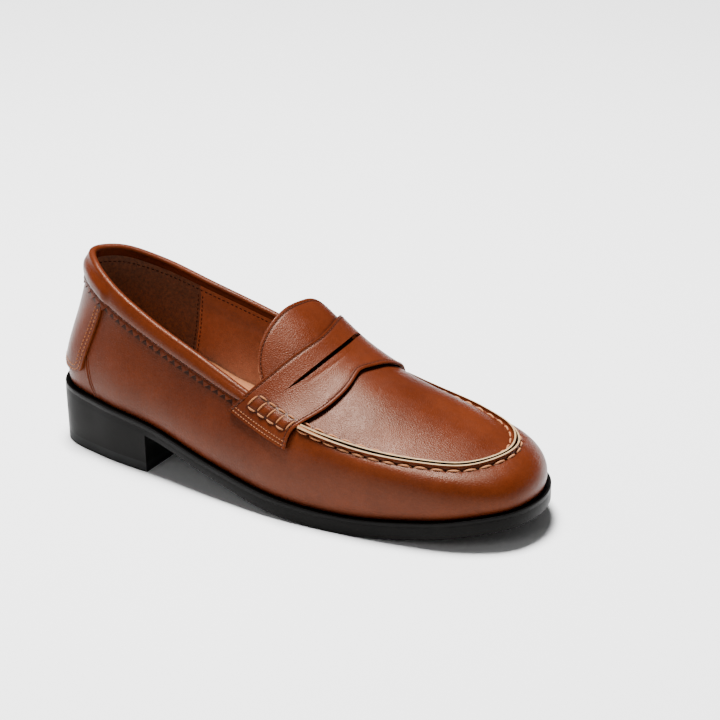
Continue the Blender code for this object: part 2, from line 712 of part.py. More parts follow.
def make_apron(collection):
    """The plug over the toes, its edge turned up beside the vamp's."""
    reach = 2 * UPPER + SEAM_GAP
    step_in = inset(TOP, reach)
    slope = (arch_height(step_in[:, 0], step_in[:, 1]) - TOP[:, 2]) / reach
    edge = inset(TOP, reach / np.sqrt(1 + slope ** 2))
    edge[:, 2] = arch_height(edge[:, 0], edge[:, 1])
    start = from_back(APRON_BACK)
    near, near_s, far, far_s = edge_pairs(edge, start, 18)
    grid = np.concatenate([
        (near + raised_edge(near_s))[:, None], arch_between(near, far, 12),
        (far + raised_edge(far_s))[:, None],
    ], axis=1)
    apron = layer("apron", grid, UPPER, collection)
    finish(apron, COGNAC, 0.38)
    near, _, far, _ = edge_pairs(inset(TOP, 3 * reach), start + LAP + CLEARANCE, 15)
    lining = layer("apron_lining", arch_between(near, far, 12), LINING, collection, UPPER + ARCH_GAP)
    finish(lining, DARK_LINING, 0.6)


def edge_stations(loop, start, medial, columns):
    """The loop's s in even steps from x = start to the toe, and where the raised seam rises."""
    ridge = np.maximum(ridge_start(medial) + np.array([0, RIDGE_RUN]), start)
    first = float(s_at(start, medial, loop))
    s = np.append(np.linspace(first, 0.5, columns + 1), s_at(ridge, medial, loop))
    return np.sort(s)[::-1 if medial else 1]


def edge_pairs(loop, start, columns):
    """Lateral and medial points of a loop inside the top edge, from x = start to the toe.

    Each side's points come with the s of the top edge beside them.
    """
    found = []
    for medial in (False, True):
        found.append(round_the_shoe(loop, edge_stations(loop, start, medial, columns)))
        found.append(edge_stations(TOP, start, medial, columns))
    return found


def arch_between(near, far, columns):
    """Rows of points across the arch between two edges, given as plan points."""
    share = np.linspace(0, 1, columns + 1)[None, :, None]
    plan = near[:, None, :2] + (far - near)[:, None, :2] * share
    return np.concatenate([plan, arch_height(plan[..., 0], plan[..., 1])[..., None]], -1)


def tongue_back(v):
    """The tongue's free edge, nearly straight across with round corners."""
    side = np.abs(v) / TONGUE_SIDE
    return from_back(TONGUE_BACK) + 0.011 * side ** 6 + strap_shift(v)


def make_tongue(collection):
    """The tongue dips under the apron's rear edge, and its lining follows it."""
    share = np.linspace(0, 1, 7)[:, None]
    v = np.linspace(-TONGUE_SIDE, TONGUE_SIDE, 11)[None, :]
    end = from_back(APRON_BACK) + LAP
    x = tongue_back(v) + (end - tongue_back(v)) * share
    dip = (UPPER + ARCH_GAP) * fade(strap_back(v), strap_back(v) + 0.008, x)
    grid = under_arch(x, v + 0 * x, dip)
    tongue = layer("tongue", grid, UPPER, collection)
    finish(tongue, COGNAC, 0.4)
    lining = layer("tongue_lining", grid, LINING, collection, UPPER + CLEARANCE)
    finish(lining, DARK_LINING, 0.6)


def lining_depth(t):
    """The lining lies inside the stiffener low down and against the upper at the top edge."""
    inner = UPPER + STIFFENER + 2 * CLEARANCE
    outer = UPPER + CLEARANCE
    return inner + (outer - inner) * fade(COUNTER_TOP + 0.02, 0.86, t)


def lining_foot(s):
    return t_at_height(s, LINING_FOOT)


def make_linings(collection):
    behind, ahead = GRIP_SIDE + SEAM_SHARE, LINING_JOINT + SEAM_SHARE
    for name, start, end, top, colour, roughness in (
        ("heel_grip_lining", -GRIP_SIDE, GRIP_SIDE, LINING_TOP, OLIVE_SUEDE, 0.95),
        ("quarter_lining_lateral", behind, LINING_JOINT, LINING_TOP, DARK_LINING, 0.6),
        ("quarter_lining_medial", 1 - LINING_JOINT, 1 - behind, LINING_TOP, DARK_LINING, 0.6),
        ("vamp_lining", ahead, 1 - ahead, 0.92, DARK_LINING, 0.6),
    ):
        s, t = wall_sheet(start, end, lining_foot, top)
        depth = lining_depth(0 * t if name == "vamp_lining" else t)
        sheet = layer(name, under_wall(s, t, depth), LINING, collection)
        finish(sheet, colour, roughness)


def make_stiffeners(collection):
    for name, start, end, top in (
        ("heel_counter", -COUNTER_SIDE, COUNTER_SIDE, COUNTER_TOP),
        ("toe_puff", PUFF_START, 1 - PUFF_START, PUFF_TOP),
    ):
        s, t = wall_sheet(start, end, lining_foot, top)
        board = layer(name, under_wall(s, t, UPPER + CLEARANCE + 0 * t), STIFFENER, collection)
        finish(board, (0.50, 0.45, 0.36), 0.8)


def make_collar(collection):
    """A strip folded over the top edge from one end of the strap to the other."""
    outside = np.linspace(COLLAR_FOOT, 1, 4)
    inside = np.linspace(1, COLLAR_INSIDE, 3)
    inner_depth = UPPER + LINING + 2 * CLEARANCE
    rows = []
    for share in np.linspace(-1, 1, AROUND - 1):
        row = []
        for t in outside:
            s = collar_station(share, t)
            row.append(under_wall(s, np.float64(t), -CLEARANCE))
        s = collar_station(share, 1.0)
        top, normal = wall(s, 1.0), wall_normal(s, np.float64(1.0))
        climb = top - wall(s, 0.99)
        climb /= np.linalg.norm(climb)
        radius = (inner_depth + CLEARANCE) / 2
        centre = top - normal * (radius - CLEARANCE)
        for turn in np.linspace(0, np.pi, 6)[1:-1]:
            row.append(centre + radius * (normal * np.cos(turn) + climb * np.sin(turn)))
        for t in inside:
            row.append(under_wall(s, np.float64(t), inner_depth))
        rows.append(row)
    collar = layer("collar", np.array(rows), COLLAR, collection, -COLLAR)
    finish(collar, COGNAC, 0.38)


def collar_station(share, t):
    """s at this share of the collar, its ends cut to the strap's rear edge."""
    v = 2 - t
    if share < 0:
        return share * (1 - s_at(strap_back(v) - SEAM_GAP, True))
    return share * s_at(strap_back(-v) - SEAM_GAP, False)


# ---- the shoe -----------------------------------------------------------------------------

def clear_scene():
    for old in list(bpy.data.objects):
        bpy.data.objects.remove(old, do_unlink=True)


def new_collection(name):
    collection = bpy.data.collections.new(name)
    bpy.context.scene.collection.children.link(collection)
    return collection


def main():
    clear_scene()
    shoe = new_collection("penny_loafer")
    cutters = new_collection("cutters")
    block = make_heel(shoe)
    outsole = make_sole(shoe)
    seat, shank = make_fillings(shoe)
    board = make_insole(shoe)
    make_fasteners(shoe, cutters, board, seat, shank, outsole, block)
    make_vamp(shoe)
    make_heel_quarter(shoe)
    make_backstay(shoe)
    make_stiffeners(shoe)
    make_linings(shoe)
    make_apron(shoe)
    make_tongue(shoe)
    make_strap(shoe)
    make_collar(shoe)


main()
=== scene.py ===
"""The penny loafer's looks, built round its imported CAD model, in the same frame and in metres.

Toe towards +X, lateral side towards -Y, +Z up. The upper follows the surfaces that the CAD pieces
follow. The wall has coordinates (s, t): s runs once round the shoe, 0 at the back and 0.5 at the
toe, lateral side first, and t runs from 0 at the feather line to 1 at the top edge. The arch over
the instep has coordinates (x, v): v is -1 at the lateral top edge, 1 at the medial one, and past
these it runs on down the wall. A grid of points has its normal along (first axis) x (second axis).
"""

import bmesh
import bpy
import numpy as np
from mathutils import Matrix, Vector


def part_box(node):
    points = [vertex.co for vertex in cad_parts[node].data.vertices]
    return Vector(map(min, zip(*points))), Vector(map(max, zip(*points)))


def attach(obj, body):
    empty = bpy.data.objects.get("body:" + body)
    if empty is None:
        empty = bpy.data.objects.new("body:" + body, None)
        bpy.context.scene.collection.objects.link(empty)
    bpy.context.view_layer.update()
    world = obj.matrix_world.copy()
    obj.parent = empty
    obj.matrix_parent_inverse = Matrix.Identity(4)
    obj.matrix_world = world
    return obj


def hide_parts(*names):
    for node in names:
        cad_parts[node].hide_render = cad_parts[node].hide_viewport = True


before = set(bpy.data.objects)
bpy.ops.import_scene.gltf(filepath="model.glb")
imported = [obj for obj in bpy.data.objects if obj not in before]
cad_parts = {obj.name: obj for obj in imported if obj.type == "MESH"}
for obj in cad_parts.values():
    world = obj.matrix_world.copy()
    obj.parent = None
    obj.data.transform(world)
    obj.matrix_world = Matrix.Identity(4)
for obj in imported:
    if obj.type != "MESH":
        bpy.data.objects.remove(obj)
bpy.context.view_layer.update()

MM = 0.001
UP = np.array([0.0, 0.0, 1.0])

# Sizes read from the CAD model
SOLE_LOW, SOLE_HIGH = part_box("outsole")
LENGTH, WIDTH = SOLE_HIGH.x - SOLE_LOW.x, SOLE_HIGH.y - SOLE_LOW.y
HEEL_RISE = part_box("welt")[1].z  # ground to the top of the welt at the back
HEEL_TOP, HEEL_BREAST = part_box("heel_top_piece")[1].z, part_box("heel_top_piece")[1].x

# Sizes that the CAD source is driven by
CLEARANCE = 0.3 * MM
TREAD_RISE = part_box("vamp")[0].z - CLEARANCE  # ground to the top of the welt under the ball
TOE_SPRING = 9.2 * MM
CROWN_HEIGHT = 30.5 * MM
UPPER, STRAP, COLLAR, LINING, STIFFENER = 1.1 * MM, 1.4 * MM, 0.7 * MM, 0.6 * MM, 0.8 * MM
WELT, WELT_WIDTH, SOCK = 2.4 * MM, 12 * MM, 1.0 * MM
INSOLE_TOP = 4.0 * MM  # insole board above the welt
HEEL_PAD, HEEL_PAD_EDGE, PAD_RUN = 3.0 * MM, 0.6 * MM, 16 * MM
FEATHER_INSET = 2.8 * MM
HEEL_TAPER = 1.0 * MM
SEAM_GAP, STRAP_GAP, ARCH_GAP = 0.6 * MM, 0.6 * MM, 1.2 * MM
RIDGE = 2.3 * MM
SEAM_FOOT, SEAM_TOP, SEAM_TURN = 0.074, 0.056, 0.40
BACKSTAY_SIDE, BACKSTAY_FOOT = 0.057, 0.17
COLLAR_FOOT, COLLAR_INSIDE = 0.83, 0.95
COUNTER_TOP, GRIP_SIDE, LINING_JOINT, LINING_TOP = 0.68, 0.107, 0.30, 0.965
TONGUE_SIDE, TONGUE_BACK = 0.84, 118.5 * MM
APRON_BACK, LAP = 148.2 * MM, 4 * MM
STRAP_BACK, STRAP_NOTCH, STRAP_SKEW = 137.3 * MM, 160.0 * MM, 4.5 * MM
SLOT_PLACE, SLOT_WIDTH, SLOT_SIDE = 146.2 * MM, 2.2 * MM, 0.68
STRAP_MEDIAL = 3.2 * MM
CROWN_FULLNESS = 2.6
LOOP_POINTS, LOOP_SOFTNESS = 2400, 4 * MM

# Outlines and profiles, as shares of LENGTH and WIDTH, lateral side first
OUTLINE = (
    (0.0, 0.0), (0.024, -0.22), (0.13, -0.335), (0.27, -0.392), (0.41, -0.455),
    (0.55, -0.497), (0.68, -0.485), (0.80, -0.44), (0.905, -0.36), (0.98, -0.20),
    (1.0, 0.03), (0.98, 0.215), (0.93, 0.375), (0.84, 0.482), (0.71, 0.503),
    (0.57, 0.455), (0.44, 0.37), (0.30, 0.335), (0.13, 0.32), (0.024, 0.21),
)
TOP_EDGE = (
    (0.065, -0.099, 0.158, 0.992), (0.124, -0.193, 0.248, 0.923),
    (0.238, -0.272, 0.324, 0.784), (0.35, -0.321, 0.366, 0.730),
    (0.45, -0.361, 0.391, 0.670), (0.50, -0.376, 0.394, 0.634),
    (0.583, -0.413, 0.421, 0.582), (0.70, -0.408, 0.416, 0.500),
    (0.809, -0.345, 0.362, 0.418), (0.893, -0.233, 0.262, 0.346),
)
TOP_BACK, TOP_TOE = (0.031, 0.02, 1.0), (0.939, 0.02, 0.338)
RISE = ((0, 1), (0.12, 0.88), (0.235, 0.755), (0.39, 0.37), (0.545, 0.06), (0.68, 0), (0.84, 0),
        (1.05, 0))
SPRING = ((0, 0), (0.545, 0), (0.68, 0), (0.84, 0.42), (0.955, 0.93), (1.05, 1.25))
SOLE_EDGE = ((0, 0.64), (0.235, 0.62), (0.40, 0.69), (0.545, 0.92), (0.65, 1.0), (0.85, 0.94),
             (1.05, 0.90))
CROWN = ((0.28, 0.94), (0.35, 0.985), (0.43, 1.035), (0.50, 0.95), (0.58, 0.69), (0.70, 0.495),
         (0.80, 0.295), (0.88, 0.148), (0.939, 0.0), (1.05, -0.2))
MEDIAL_FULLNESS = ((0.46, 4.8), (0.55, 2.7), (0.66, 2.0), (0.80, 2.6))
CROWN_SKEW = ((0.43, 0.22), (0.50, 0.28), (0.58, 0.32), (0.70, 0.20), (0.80, 0.26))
SHOULDERS = ((0, 0), (0.05, 0.6), (0.35, 3.0), (0.62, 1.2), (0.98, -5.6), (1.41, -8.8), (1.6, -9.5))


# ---- surfaces -----------------------------------------------------------------------------

def smooth_curve(knots, values, at):
    """A cubic curve through values at knots, its slopes taken from the neighbouring points."""
    knots = np.asarray(knots, float)
    values = np.asarray(values, float)
    at = np.asarray(at, float)
    slopes = np.gradient(values, knots, axis=0)
    i = np.clip(np.searchsorted(knots, at, side="right") - 1, 0, len(knots) - 2)
    extra = (1,) * (values.ndim - 1)
    span = (knots[i + 1] - knots[i]).reshape(at.shape + extra)
    t = (at - knots[i]).reshape(at.shape + extra) / span
    start = (1 + 2 * t) * (1 - t) ** 2 * values[i] + t * (1 - t) ** 2 * span * slopes[i]
    end = t * t * (3 - 2 * t) * values[i + 1] - t * t * (1 - t) * span * slopes[i + 1]
    return start + end


def unit(vectors):
    return vectors / np.linalg.norm(vectors, axis=-1)[..., None]


def along_line(at, run, line):
    """The line's values at these distances, given the distance of each of its points."""
    return np.stack([np.interp(at, run, column) for column in line.T], -1)


def closed_curve(points):
    """A smooth closed loop through the points, as evenly spaced samples, its curvature evened out."""
    points = np.asarray(points, float)
    ring = np.vstack([points[-3:], points, points[:4]])
    knots = np.concatenate([[0], np.cumsum(np.linalg.norm(np.diff(ring, axis=0), axis=1))])
    samples = np.linspace(knots[3], knots[3 + len(points)], LOOP_POINTS, endpoint=False)
    loop = smooth_curve(knots, ring, samples)
    spacing = (knots[3 + len(points)] - knots[3]) / LOOP_POINTS
    waves = np.fft.fftfreq(LOOP_POINTS, spacing) * 2 * np.pi
    keep = np.exp(-(waves * LOOP_SOFTNESS) ** 2 / 2)[:, None]
    return np.fft.ifft(np.fft.fft(loop, axis=0) * keep, axis=0).real


def profile(pairs, x):
    shares, values = zip(*pairs)
    return smooth_curve(shares, values, np.clip(share_of(x), shares[0], shares[-1]))


def share_of(x):
    return np.asarray(x, float) / LENGTH + 0.5


def from_back(distance):
    return distance - LENGTH / 2


def fade(start, end, x):
    """0 before start, 1 after end, smooth between them."""
    t = np.clip((np.asarray(x, float) - start) / (end - start), 0, 1)
    return t * t * (3 - 2 * t)


def welt_top(x):
    rise = (HEEL_RISE - TREAD_RISE) * profile(RISE, x)
    return TREAD_RISE + rise + TOE_SPRING * profile(SPRING, x)


def leftward(along):
    """Unit vectors in plan, square to the given ones and on their left."""
    return unit(np.stack([-along[:, 1], along[:, 0]], -1))


def inset(loop, distance):
    """The loop moved inwards in plan, by one distance or by one for each point."""
    tangent = np.roll(loop, -1, 0)[:, :2] - np.roll(loop, 1, 0)[:, :2]
    moved = loop.copy()
    moved[:, :2] += leftward(tangent) * np.reshape(distance, (-1, 1))
    return moved


def halves(loop):
    """The lateral and the medial half of a loop, each from its rearmost to its foremost point."""
    ring = np.roll(loop, -loop[:, 0].argmin(), axis=0)
    toe = ring[:, 0].argmax()
    return ring[:toe + 1], np.vstack([ring[toe:], ring[:1]])[::-1]


def sole_outline():
    loop = closed_curve([(u * LENGTH, v * WIDTH) for u, v in OUTLINE])
    low, high = loop.min(0), loop.max(0)
    return (loop - (low + high) / 2) * np.array([LENGTH, WIDTH]) / (high - low)


def top_edge():
    lateral = [(u, a, h) for u, a, b, h in TOP_EDGE]
    medial = [(u, b, h) for u, a, b, h in reversed(TOP_EDGE)]
    points = []
    for u, side, share in [TOP_BACK, *lateral, TOP_TOE, *medial]:
        x = (u - 0.5) * LENGTH
        points.append((x, side * WIDTH, float(welt_top(x)) + share * BACK_HEIGHT))
    return closed_curve(points)


BACK_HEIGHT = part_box("heel_quarter")[1].z - float(welt_top((TOP_BACK[0] - 0.5) * LENGTH))
SOLE = sole_outline()
FEATHER = inset(SOLE, FEATHER_INSET)
FEATHER = np.column_stack([FEATHER, welt_top(FEATHER[:, 0]) + CLEARANCE])
TOP = top_edge()


def lengths(half):
    return np.concatenate([[0], np.cumsum(np.linalg.norm(np.diff(half, axis=0), axis=1))])


def round_the_shoe(loop, s):
    """The loop's points at s, each half measured by its own length."""
    s = np.asarray(s, float) % 1.0
    found = []
    for half, share in zip(halves(loop), (s * 2, (1 - s) * 2)):
        length = lengths(half)
        found.append(along_line(np.clip(share, 0, 1) * length[-1], length, half))
    return np.where((s <= 0.5)[..., None], found[0], found[1])


def s_at(x, medial, loop=None):
    """The s of the loop's point at x on one side."""
    half = halves(TOP if loop is None else loop)[1 if medial else 0]
    length = lengths(half)
    share = np.interp(x, half[:, 0], length) / length[-1] / 2
    return 1 - share if medial else share


ROUND_THE_TOP = lengths(halves(TOP)[0])[-1] * 2


def outward(s):
    step = 1e-3
    along = round_the_shoe(FEATHER, s + step) - round_the_shoe(FEATHER, s - step)
    return unit(np.stack([along[..., 1], -along[..., 0], 0 * along[..., 0]], -1))


def wall(s, t):
    """The upper's outer surface: a cubic from the feather line to the top edge at each s."""
    s, t = np.broadcast_arrays(np.asarray(s, float), np.asarray(t, float))
    foot = round_the_shoe(FEATHER, s)
    top = round_the_shoe(TOP, s)
    side = outward(s)
    share = share_of(foot[..., 0])
    fore = fade(0.30, 0.72, share)[..., None]
    back = 1 - fade(0.0, 0.12, share)[..., None]
    rise = (top - foot)[..., 2:]
    reach = np.linalg.norm((top - foot)[..., :2], axis=-1)[..., None]
    low = foot + side * (0.0045 - 0.0010 * fore + 0.0008 * back)
    low = low + UP * rise * (0.30 + 0.25 * fore)
    high = top + side * (0.0030 * (1 - fore) * (1 - back) + 0.62 * reach * fore + 0.001 * back)
    high = high - UP * rise * (0.42 - 0.32 * fore)
    t = t[..., None]
    ends = foot * (1 - t) ** 3 + top * t ** 3
    return ends + 3 * low * t * (1 - t) ** 2 + 3 * high * t * t * (1 - t)


def wall_normal(s, t):
    step = 1e-3
    along = wall(s + step, t) - wall(s - step, t)
    climb = wall(s, np.minimum(t + step, 1)) - wall(s, np.maximum(t - step, 0))
    return unit(np.cross(along, climb))


def on_wall(s, t, lift=0.0):
    s, t = np.broadcast_arrays(np.asarray(s, float), np.asarray(t, float))
    return wall(s, t) + wall_normal(s, t) * np.asarray(lift)[..., None]


def wall_height(s):
    """Length of the wall from foot to top at s, for turning millimetres into t."""
    t = np.linspace(0, 1, 21)
    line = wall(np.asarray(s, float)[..., None], t)
    return np.linalg.norm(np.diff(line, axis=-2), axis=-1).sum(-1)


def top_at(x, column=1):
    """The y, or another coordinate, of the top edge at x, on the lateral and the medial side."""
    return [np.interp(x, half[:, 0], half[:, column]) for half in halves(TOP)]


def arch_height(x, y):
    """Height of the arch over a point of the plan."""
    (low_y, high_y), (low_z, high_z) = top_at(x), top_at(x, 2)
    v = np.clip((2 * y - low_y - high_y) / np.maximum(high_y - low_y, 1e-6), -1, 1)
    edge = low_z + (high_z - low_z) * (1 + v) / 2
    crown = np.maximum(CROWN_HEIGHT * profile(CROWN, x), 0)
    side = v - profile(CROWN_SKEW, x) * (1 - v * v)
    fuller = (profile(MEDIAL_FULLNESS, x) - CROWN_FULLNESS) * fade(0, 0.3, side)
    return edge + crown * (1 - np.abs(side) ** (CROWN_FULLNESS + fuller))


def over(x, v):
    """The arch at (x, v), running on down the lateral wall below -1 and the medial wall above 1."""
    x, v = np.broadcast_arrays(np.asarray(x, float), np.asarray(v, float))
    lateral, medial = top_at(x)
    y = lateral + (medial - lateral) * (1 + np.clip(v, -1, 1)) / 2
    arch = np.stack([x, y, arch_height(x, y)], -1)
    near = wall(s_at(x, False), np.clip(2 + v, 0, 1))
    far = wall(s_at(x, True), np.clip(2 - v, 0, 1))
    return np.where((v < -1)[..., None], near, np.where((v > 1)[..., None], far, arch))


def strap_shift(v):
    return STRAP_SKEW * np.asarray(v, float)


def strap_back(v):
    return from_back(STRAP_BACK) - 13.2 * MM * np.abs(v) ** 1.6 + strap_shift(v)


def strap_front(v):
    side, shoulder = zip(*SHOULDERS)
    front = from_back(STRAP_NOTCH) + smooth_curve(side, shoulder, np.abs(v)) * MM + strap_shift(v)
    return front + STRAP_MEDIAL * fade(0.25, 0.75, v)


def strap_foot(place):
    """How far down the wall the strap's ends reach, from its rear to its front edge."""
    return 1.27 + 0.14 * place


def slot_share(v):
    """The slot's place between the strap's rear and front edges."""
    v = np.clip(v, -SLOT_SIDE, SLOT_SIDE)
    middle = from_back(SLOT_PLACE) - 12 * MM * v ** 2 + strap_shift(v)
    return (middle - strap_back(v)) / (strap_front(v) - strap_back(v))


def tongue_back(v):
    side = np.abs(v) / TONGUE_SIDE
    return from_back(TONGUE_BACK) + 11 * MM * side ** 6 + strap_shift(v)


# ---- working on grids of points -------------------------------------------------------------

def normals(grid):
    normal = np.cross(np.gradient(grid, axis=0), np.gradient(grid, axis=1))
    return normal / np.maximum(np.linalg.norm(normal, axis=-1), 1e-12)[..., None]


def lifted(grid, amount):
    return grid + normals(grid) * np.broadcast_to(amount, grid.shape[:2])[..., None]


def soften(grid, axis, passes):
    """The grid evened out along one axis, its two ends kept."""
    grid = np.moveaxis(grid.copy(), axis, 0)
    for _ in range(passes):
        grid[1:-1] = (grid[:-2] + 2 * grid[1:-1] + grid[2:]) / 4
    return np.moveaxis(grid, 0, axis)


def distance_in(grid, axis, from_end=False):
    """How far each point lies from the grid's first (or last) edge, measured along the axis."""
    steps = np.linalg.norm(np.diff(grid, axis=axis), axis=-1)
    if from_end:
        steps = np.flip(steps, axis)
    run = np.cumsum(steps, axis=axis)
    run = np.concatenate([np.zeros_like(np.take(run, [0], axis)), run], axis=axis)
    return np.flip(run, axis) if from_end else run


def groove(grid, distance, axis, from_end, depth, width):
    """The grid pressed in along a line of stitching."""
    return lifted(grid, -depth * near_line(grid, distance, axis, from_end, width))


def near_line(grid, distance, axis, from_end, width):
    """1 on the line this far inside one edge of the grid, falling to 0 beside it."""
    return np.exp(-((distance_in(grid, axis, from_end) - distance) / width) ** 2)


def line_in(grid, distance, axis, from_end=False):
    """(points, normals) of the line that lies this far inside one edge of the grid."""
    normal = normals(grid)
    run = np.moveaxis(distance_in(grid, axis, from_end), axis, 1)
    grid, normal = np.moveaxis(grid, axis, 1), np.moveaxis(normal, axis, 1)
    if from_end:
        run, grid, normal = run[:, ::-1], grid[:, ::-1], normal[:, ::-1]
    return [np.array([along_line(distance, *row) for row in zip(run, values)]) for values in (grid, normal)]


def crowded(count, power=1.0):
    """Shares from 0 to 1 that stand closer together at both ends."""
    even = np.linspace(0, 1, count + 1)
    return even * (1 - power) + power * (1 - np.cos(np.pi * even)) / 2


def grid_faces(rows, columns, skip=()):
    return [
        (i * columns + j, (i + 1) * columns + j, (i + 1) * columns + j + 1, i * columns + j + 1)
        for i in range(rows - 1) if i not in skip
        for j in range(columns - 1)
    ]


class Shape:
    """Points and faces gathered for one mesh.

    Each face has its material's place, and each point has how much painted shade darkens it, from 0 to 1.
    """

    def __init__(self, grid=None, skip=(), dark=0.0):
        self.points, self.faces, self.slots, self.dark = [], [], [], []
        if grid is not None:
            self.add_grid(grid, skip, dark)

    def add(self, points, faces, slot=0, dark=0.0):
        start = len(self.points)
        self.dark += np.broadcast_to(dark, len(points)).astype(float).tolist()
        self.points += [tuple(map(float, point)) for point in points]
        self.faces += [tuple(start + i for i in face) for face in faces]
        self.slots += [slot] * len(faces)

    def add_grid(self, grid, skip=(), dark=0.0):
        rows, columns = grid.shape[:2]
        dark = np.broadcast_to(dark, (rows, columns)).reshape(-1)
        self.add(grid.reshape(-1, 3), grid_faces(rows, columns, skip), 0, dark)

    def build(self, name, materials, weld=1e-6, face_out=False):
        mesh = bpy.data.meshes.new(name)
        mesh.from_pydata(self.points, [], self.faces)
        mesh.polygons.foreach_set("material_index", self.slots)
        # the dark attribute carries each point's painted shade, from 0 to 1
        mesh.attributes.new("dark", "FLOAT", "POINT").data.foreach_set("value", self.dark)
        work = bmesh.new()
        work.from_mesh(mesh)
        bmesh.ops.remove_doubles(work, verts=work.verts, dist=weld)
        bmesh.ops.dissolve_degenerate(work, edges=work.edges, dist=weld)
        if face_out:
            bmesh.ops.recalc_face_normals(work, faces=work.faces)
        work.to_mesh(mesh)
        work.free()
        for material in materials:
            mesh.materials.append(material)
        mesh.shade_smooth()
        made = bpy.data.objects.new(name, mesh)
        bpy.context.scene.collection.objects.link(made)
        return made


def stands_for(piece, slot, *nodes):
    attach(piece, "root")
    if nodes:
        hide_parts(*nodes)


def sheet(name, node, slot, shape, thickness, materials, edge=0.2 * MM, weld=1e-5):
    """Leather cut from the shape: the shape is its outer face, and its cut edge is rounded.

    The materials are those of the outer face, the inner face and the cut edge.
    """
    piece = shape.build(name, materials, weld)
    body = piece.modifiers.new("thickness", "SOLIDIFY")
    body.thickness = thickness
    body.offset = -1
    body.material_offset = 1
    body.material_offset_rim = 2
    rounded(piece, edge, 0.9)
    stands_for(piece, slot, node)


def rounded(piece, edge, sharp):
    """Rounds the piece's edges that turn by more than the sharp angle."""
    bevel = piece.modifiers.new("rounded edge", "BEVEL")
    bevel.width = edge
    bevel.segments = 3
    bevel.limit_method = "ANGLE"
    bevel.angle_limit = sharp
    bevel.harden_normals = True


# ---- threads --------------------------------------------------------------------------------

THREAD_RINGS, THREAD_SIDES = 7, 6


def tube(shape, centre, normal, radius, slot=0):
    """A closed tube along the centre line, with one radius or one for each point."""
    tangent = unit(np.gradient(centre, axis=0))
    side = unit(np.cross(tangent, normal))
    up = np.cross(side, tangent)
    turn = np.arange(THREAD_SIDES) * 2 * np.pi / THREAD_SIDES
    around = up[:, None] * np.cos(turn)[None, :, None] + side[:, None] * np.sin(turn)[None, :, None]
    points = centre[:, None] + around * np.broadcast_to(radius, len(centre))[:, None, None]
    rings, sides = len(centre), THREAD_SIDES
    faces = [
        (i * sides + j, i * sides + (j + 1) % sides, (i + 1) * sides + (j + 1) % sides, (i + 1) * sides + j)
        for i in range(rings - 1)
        for j in range(sides)
    ]
    faces += [tuple(range(sides))[::-1], tuple((rings - 1) * sides + j for j in range(sides))]
    shape.add(points.reshape(-1, 3), faces, slot)


def needle_hole_shade(shape, centre, normal, along, size):
    """The painted shade of a small pit between two stitches, drawn as a flat dark disc on the leather."""
    side = np.cross(along, normal)
    turn = np.arange(8) * np.pi / 4
    disc = centre + np.cos(turn)[:, None] * along * size + np.sin(turn)[:, None] * side * size * 0.75
    shape.add(disc + normal * 0.06 * MM, [tuple(range(8))], 1)


def run_of_stitches(shape, points, facing, count, *, radius, fill=0.7, bow=0.0, rise=0.7, hole=0.0):
    """Stitches at equal steps along the samples of a line; each dives into the leather at its ends."""
    at = np.arange(len(points))
    scale = (len(points) - 1) / count
    for i in range(count):
        share = np.linspace(0, 1, THREAD_RINGS)
        where = (i + 0.5 + (share - 0.5) * fill) * scale
        centre, normal = along_line(where, at, points), along_line(where, at, facing)
        along = unit(centre[-1] - centre[0])
        arc = np.sin(np.pi * share)
        lift = radius * (2 * rise * arc ** 0.7 - 0.9)
        side = np.cross(along, normal)
        line = centre + normal * lift[:, None] + side * (bow * arc)[:, None]
        tube(shape, line, normal, radius * (0.65 + 0.35 * arc))
        if hole:
            gap = i * scale
            needle_hole_shade(shape, along_line(gap, at, points), along_line(gap, at, facing), along, hole)


def stitch_line(shape, line, pitch, start=0.0, end=0.0, **look):
    """Stitches of about this pitch along a line, from start to end, the distances from its two ends."""
    run = lengths(line[0])
    at = np.linspace(start, run[-1] - end, 200)
    points, facing = (along_line(at, run, values) for values in line)
    run_of_stitches(shape, points, facing, int(round((at[-1] - at[0]) / pitch)), **look)


def threads(name, shape, thread, slot):
    """Stitches as one piece; the painted shade of their needle holes has the shape's second material."""
    stands_for(shape.build(name, (thread, HOLE_SHADE)), slot)


# ---- materials --------------------------------------------------------------------------------

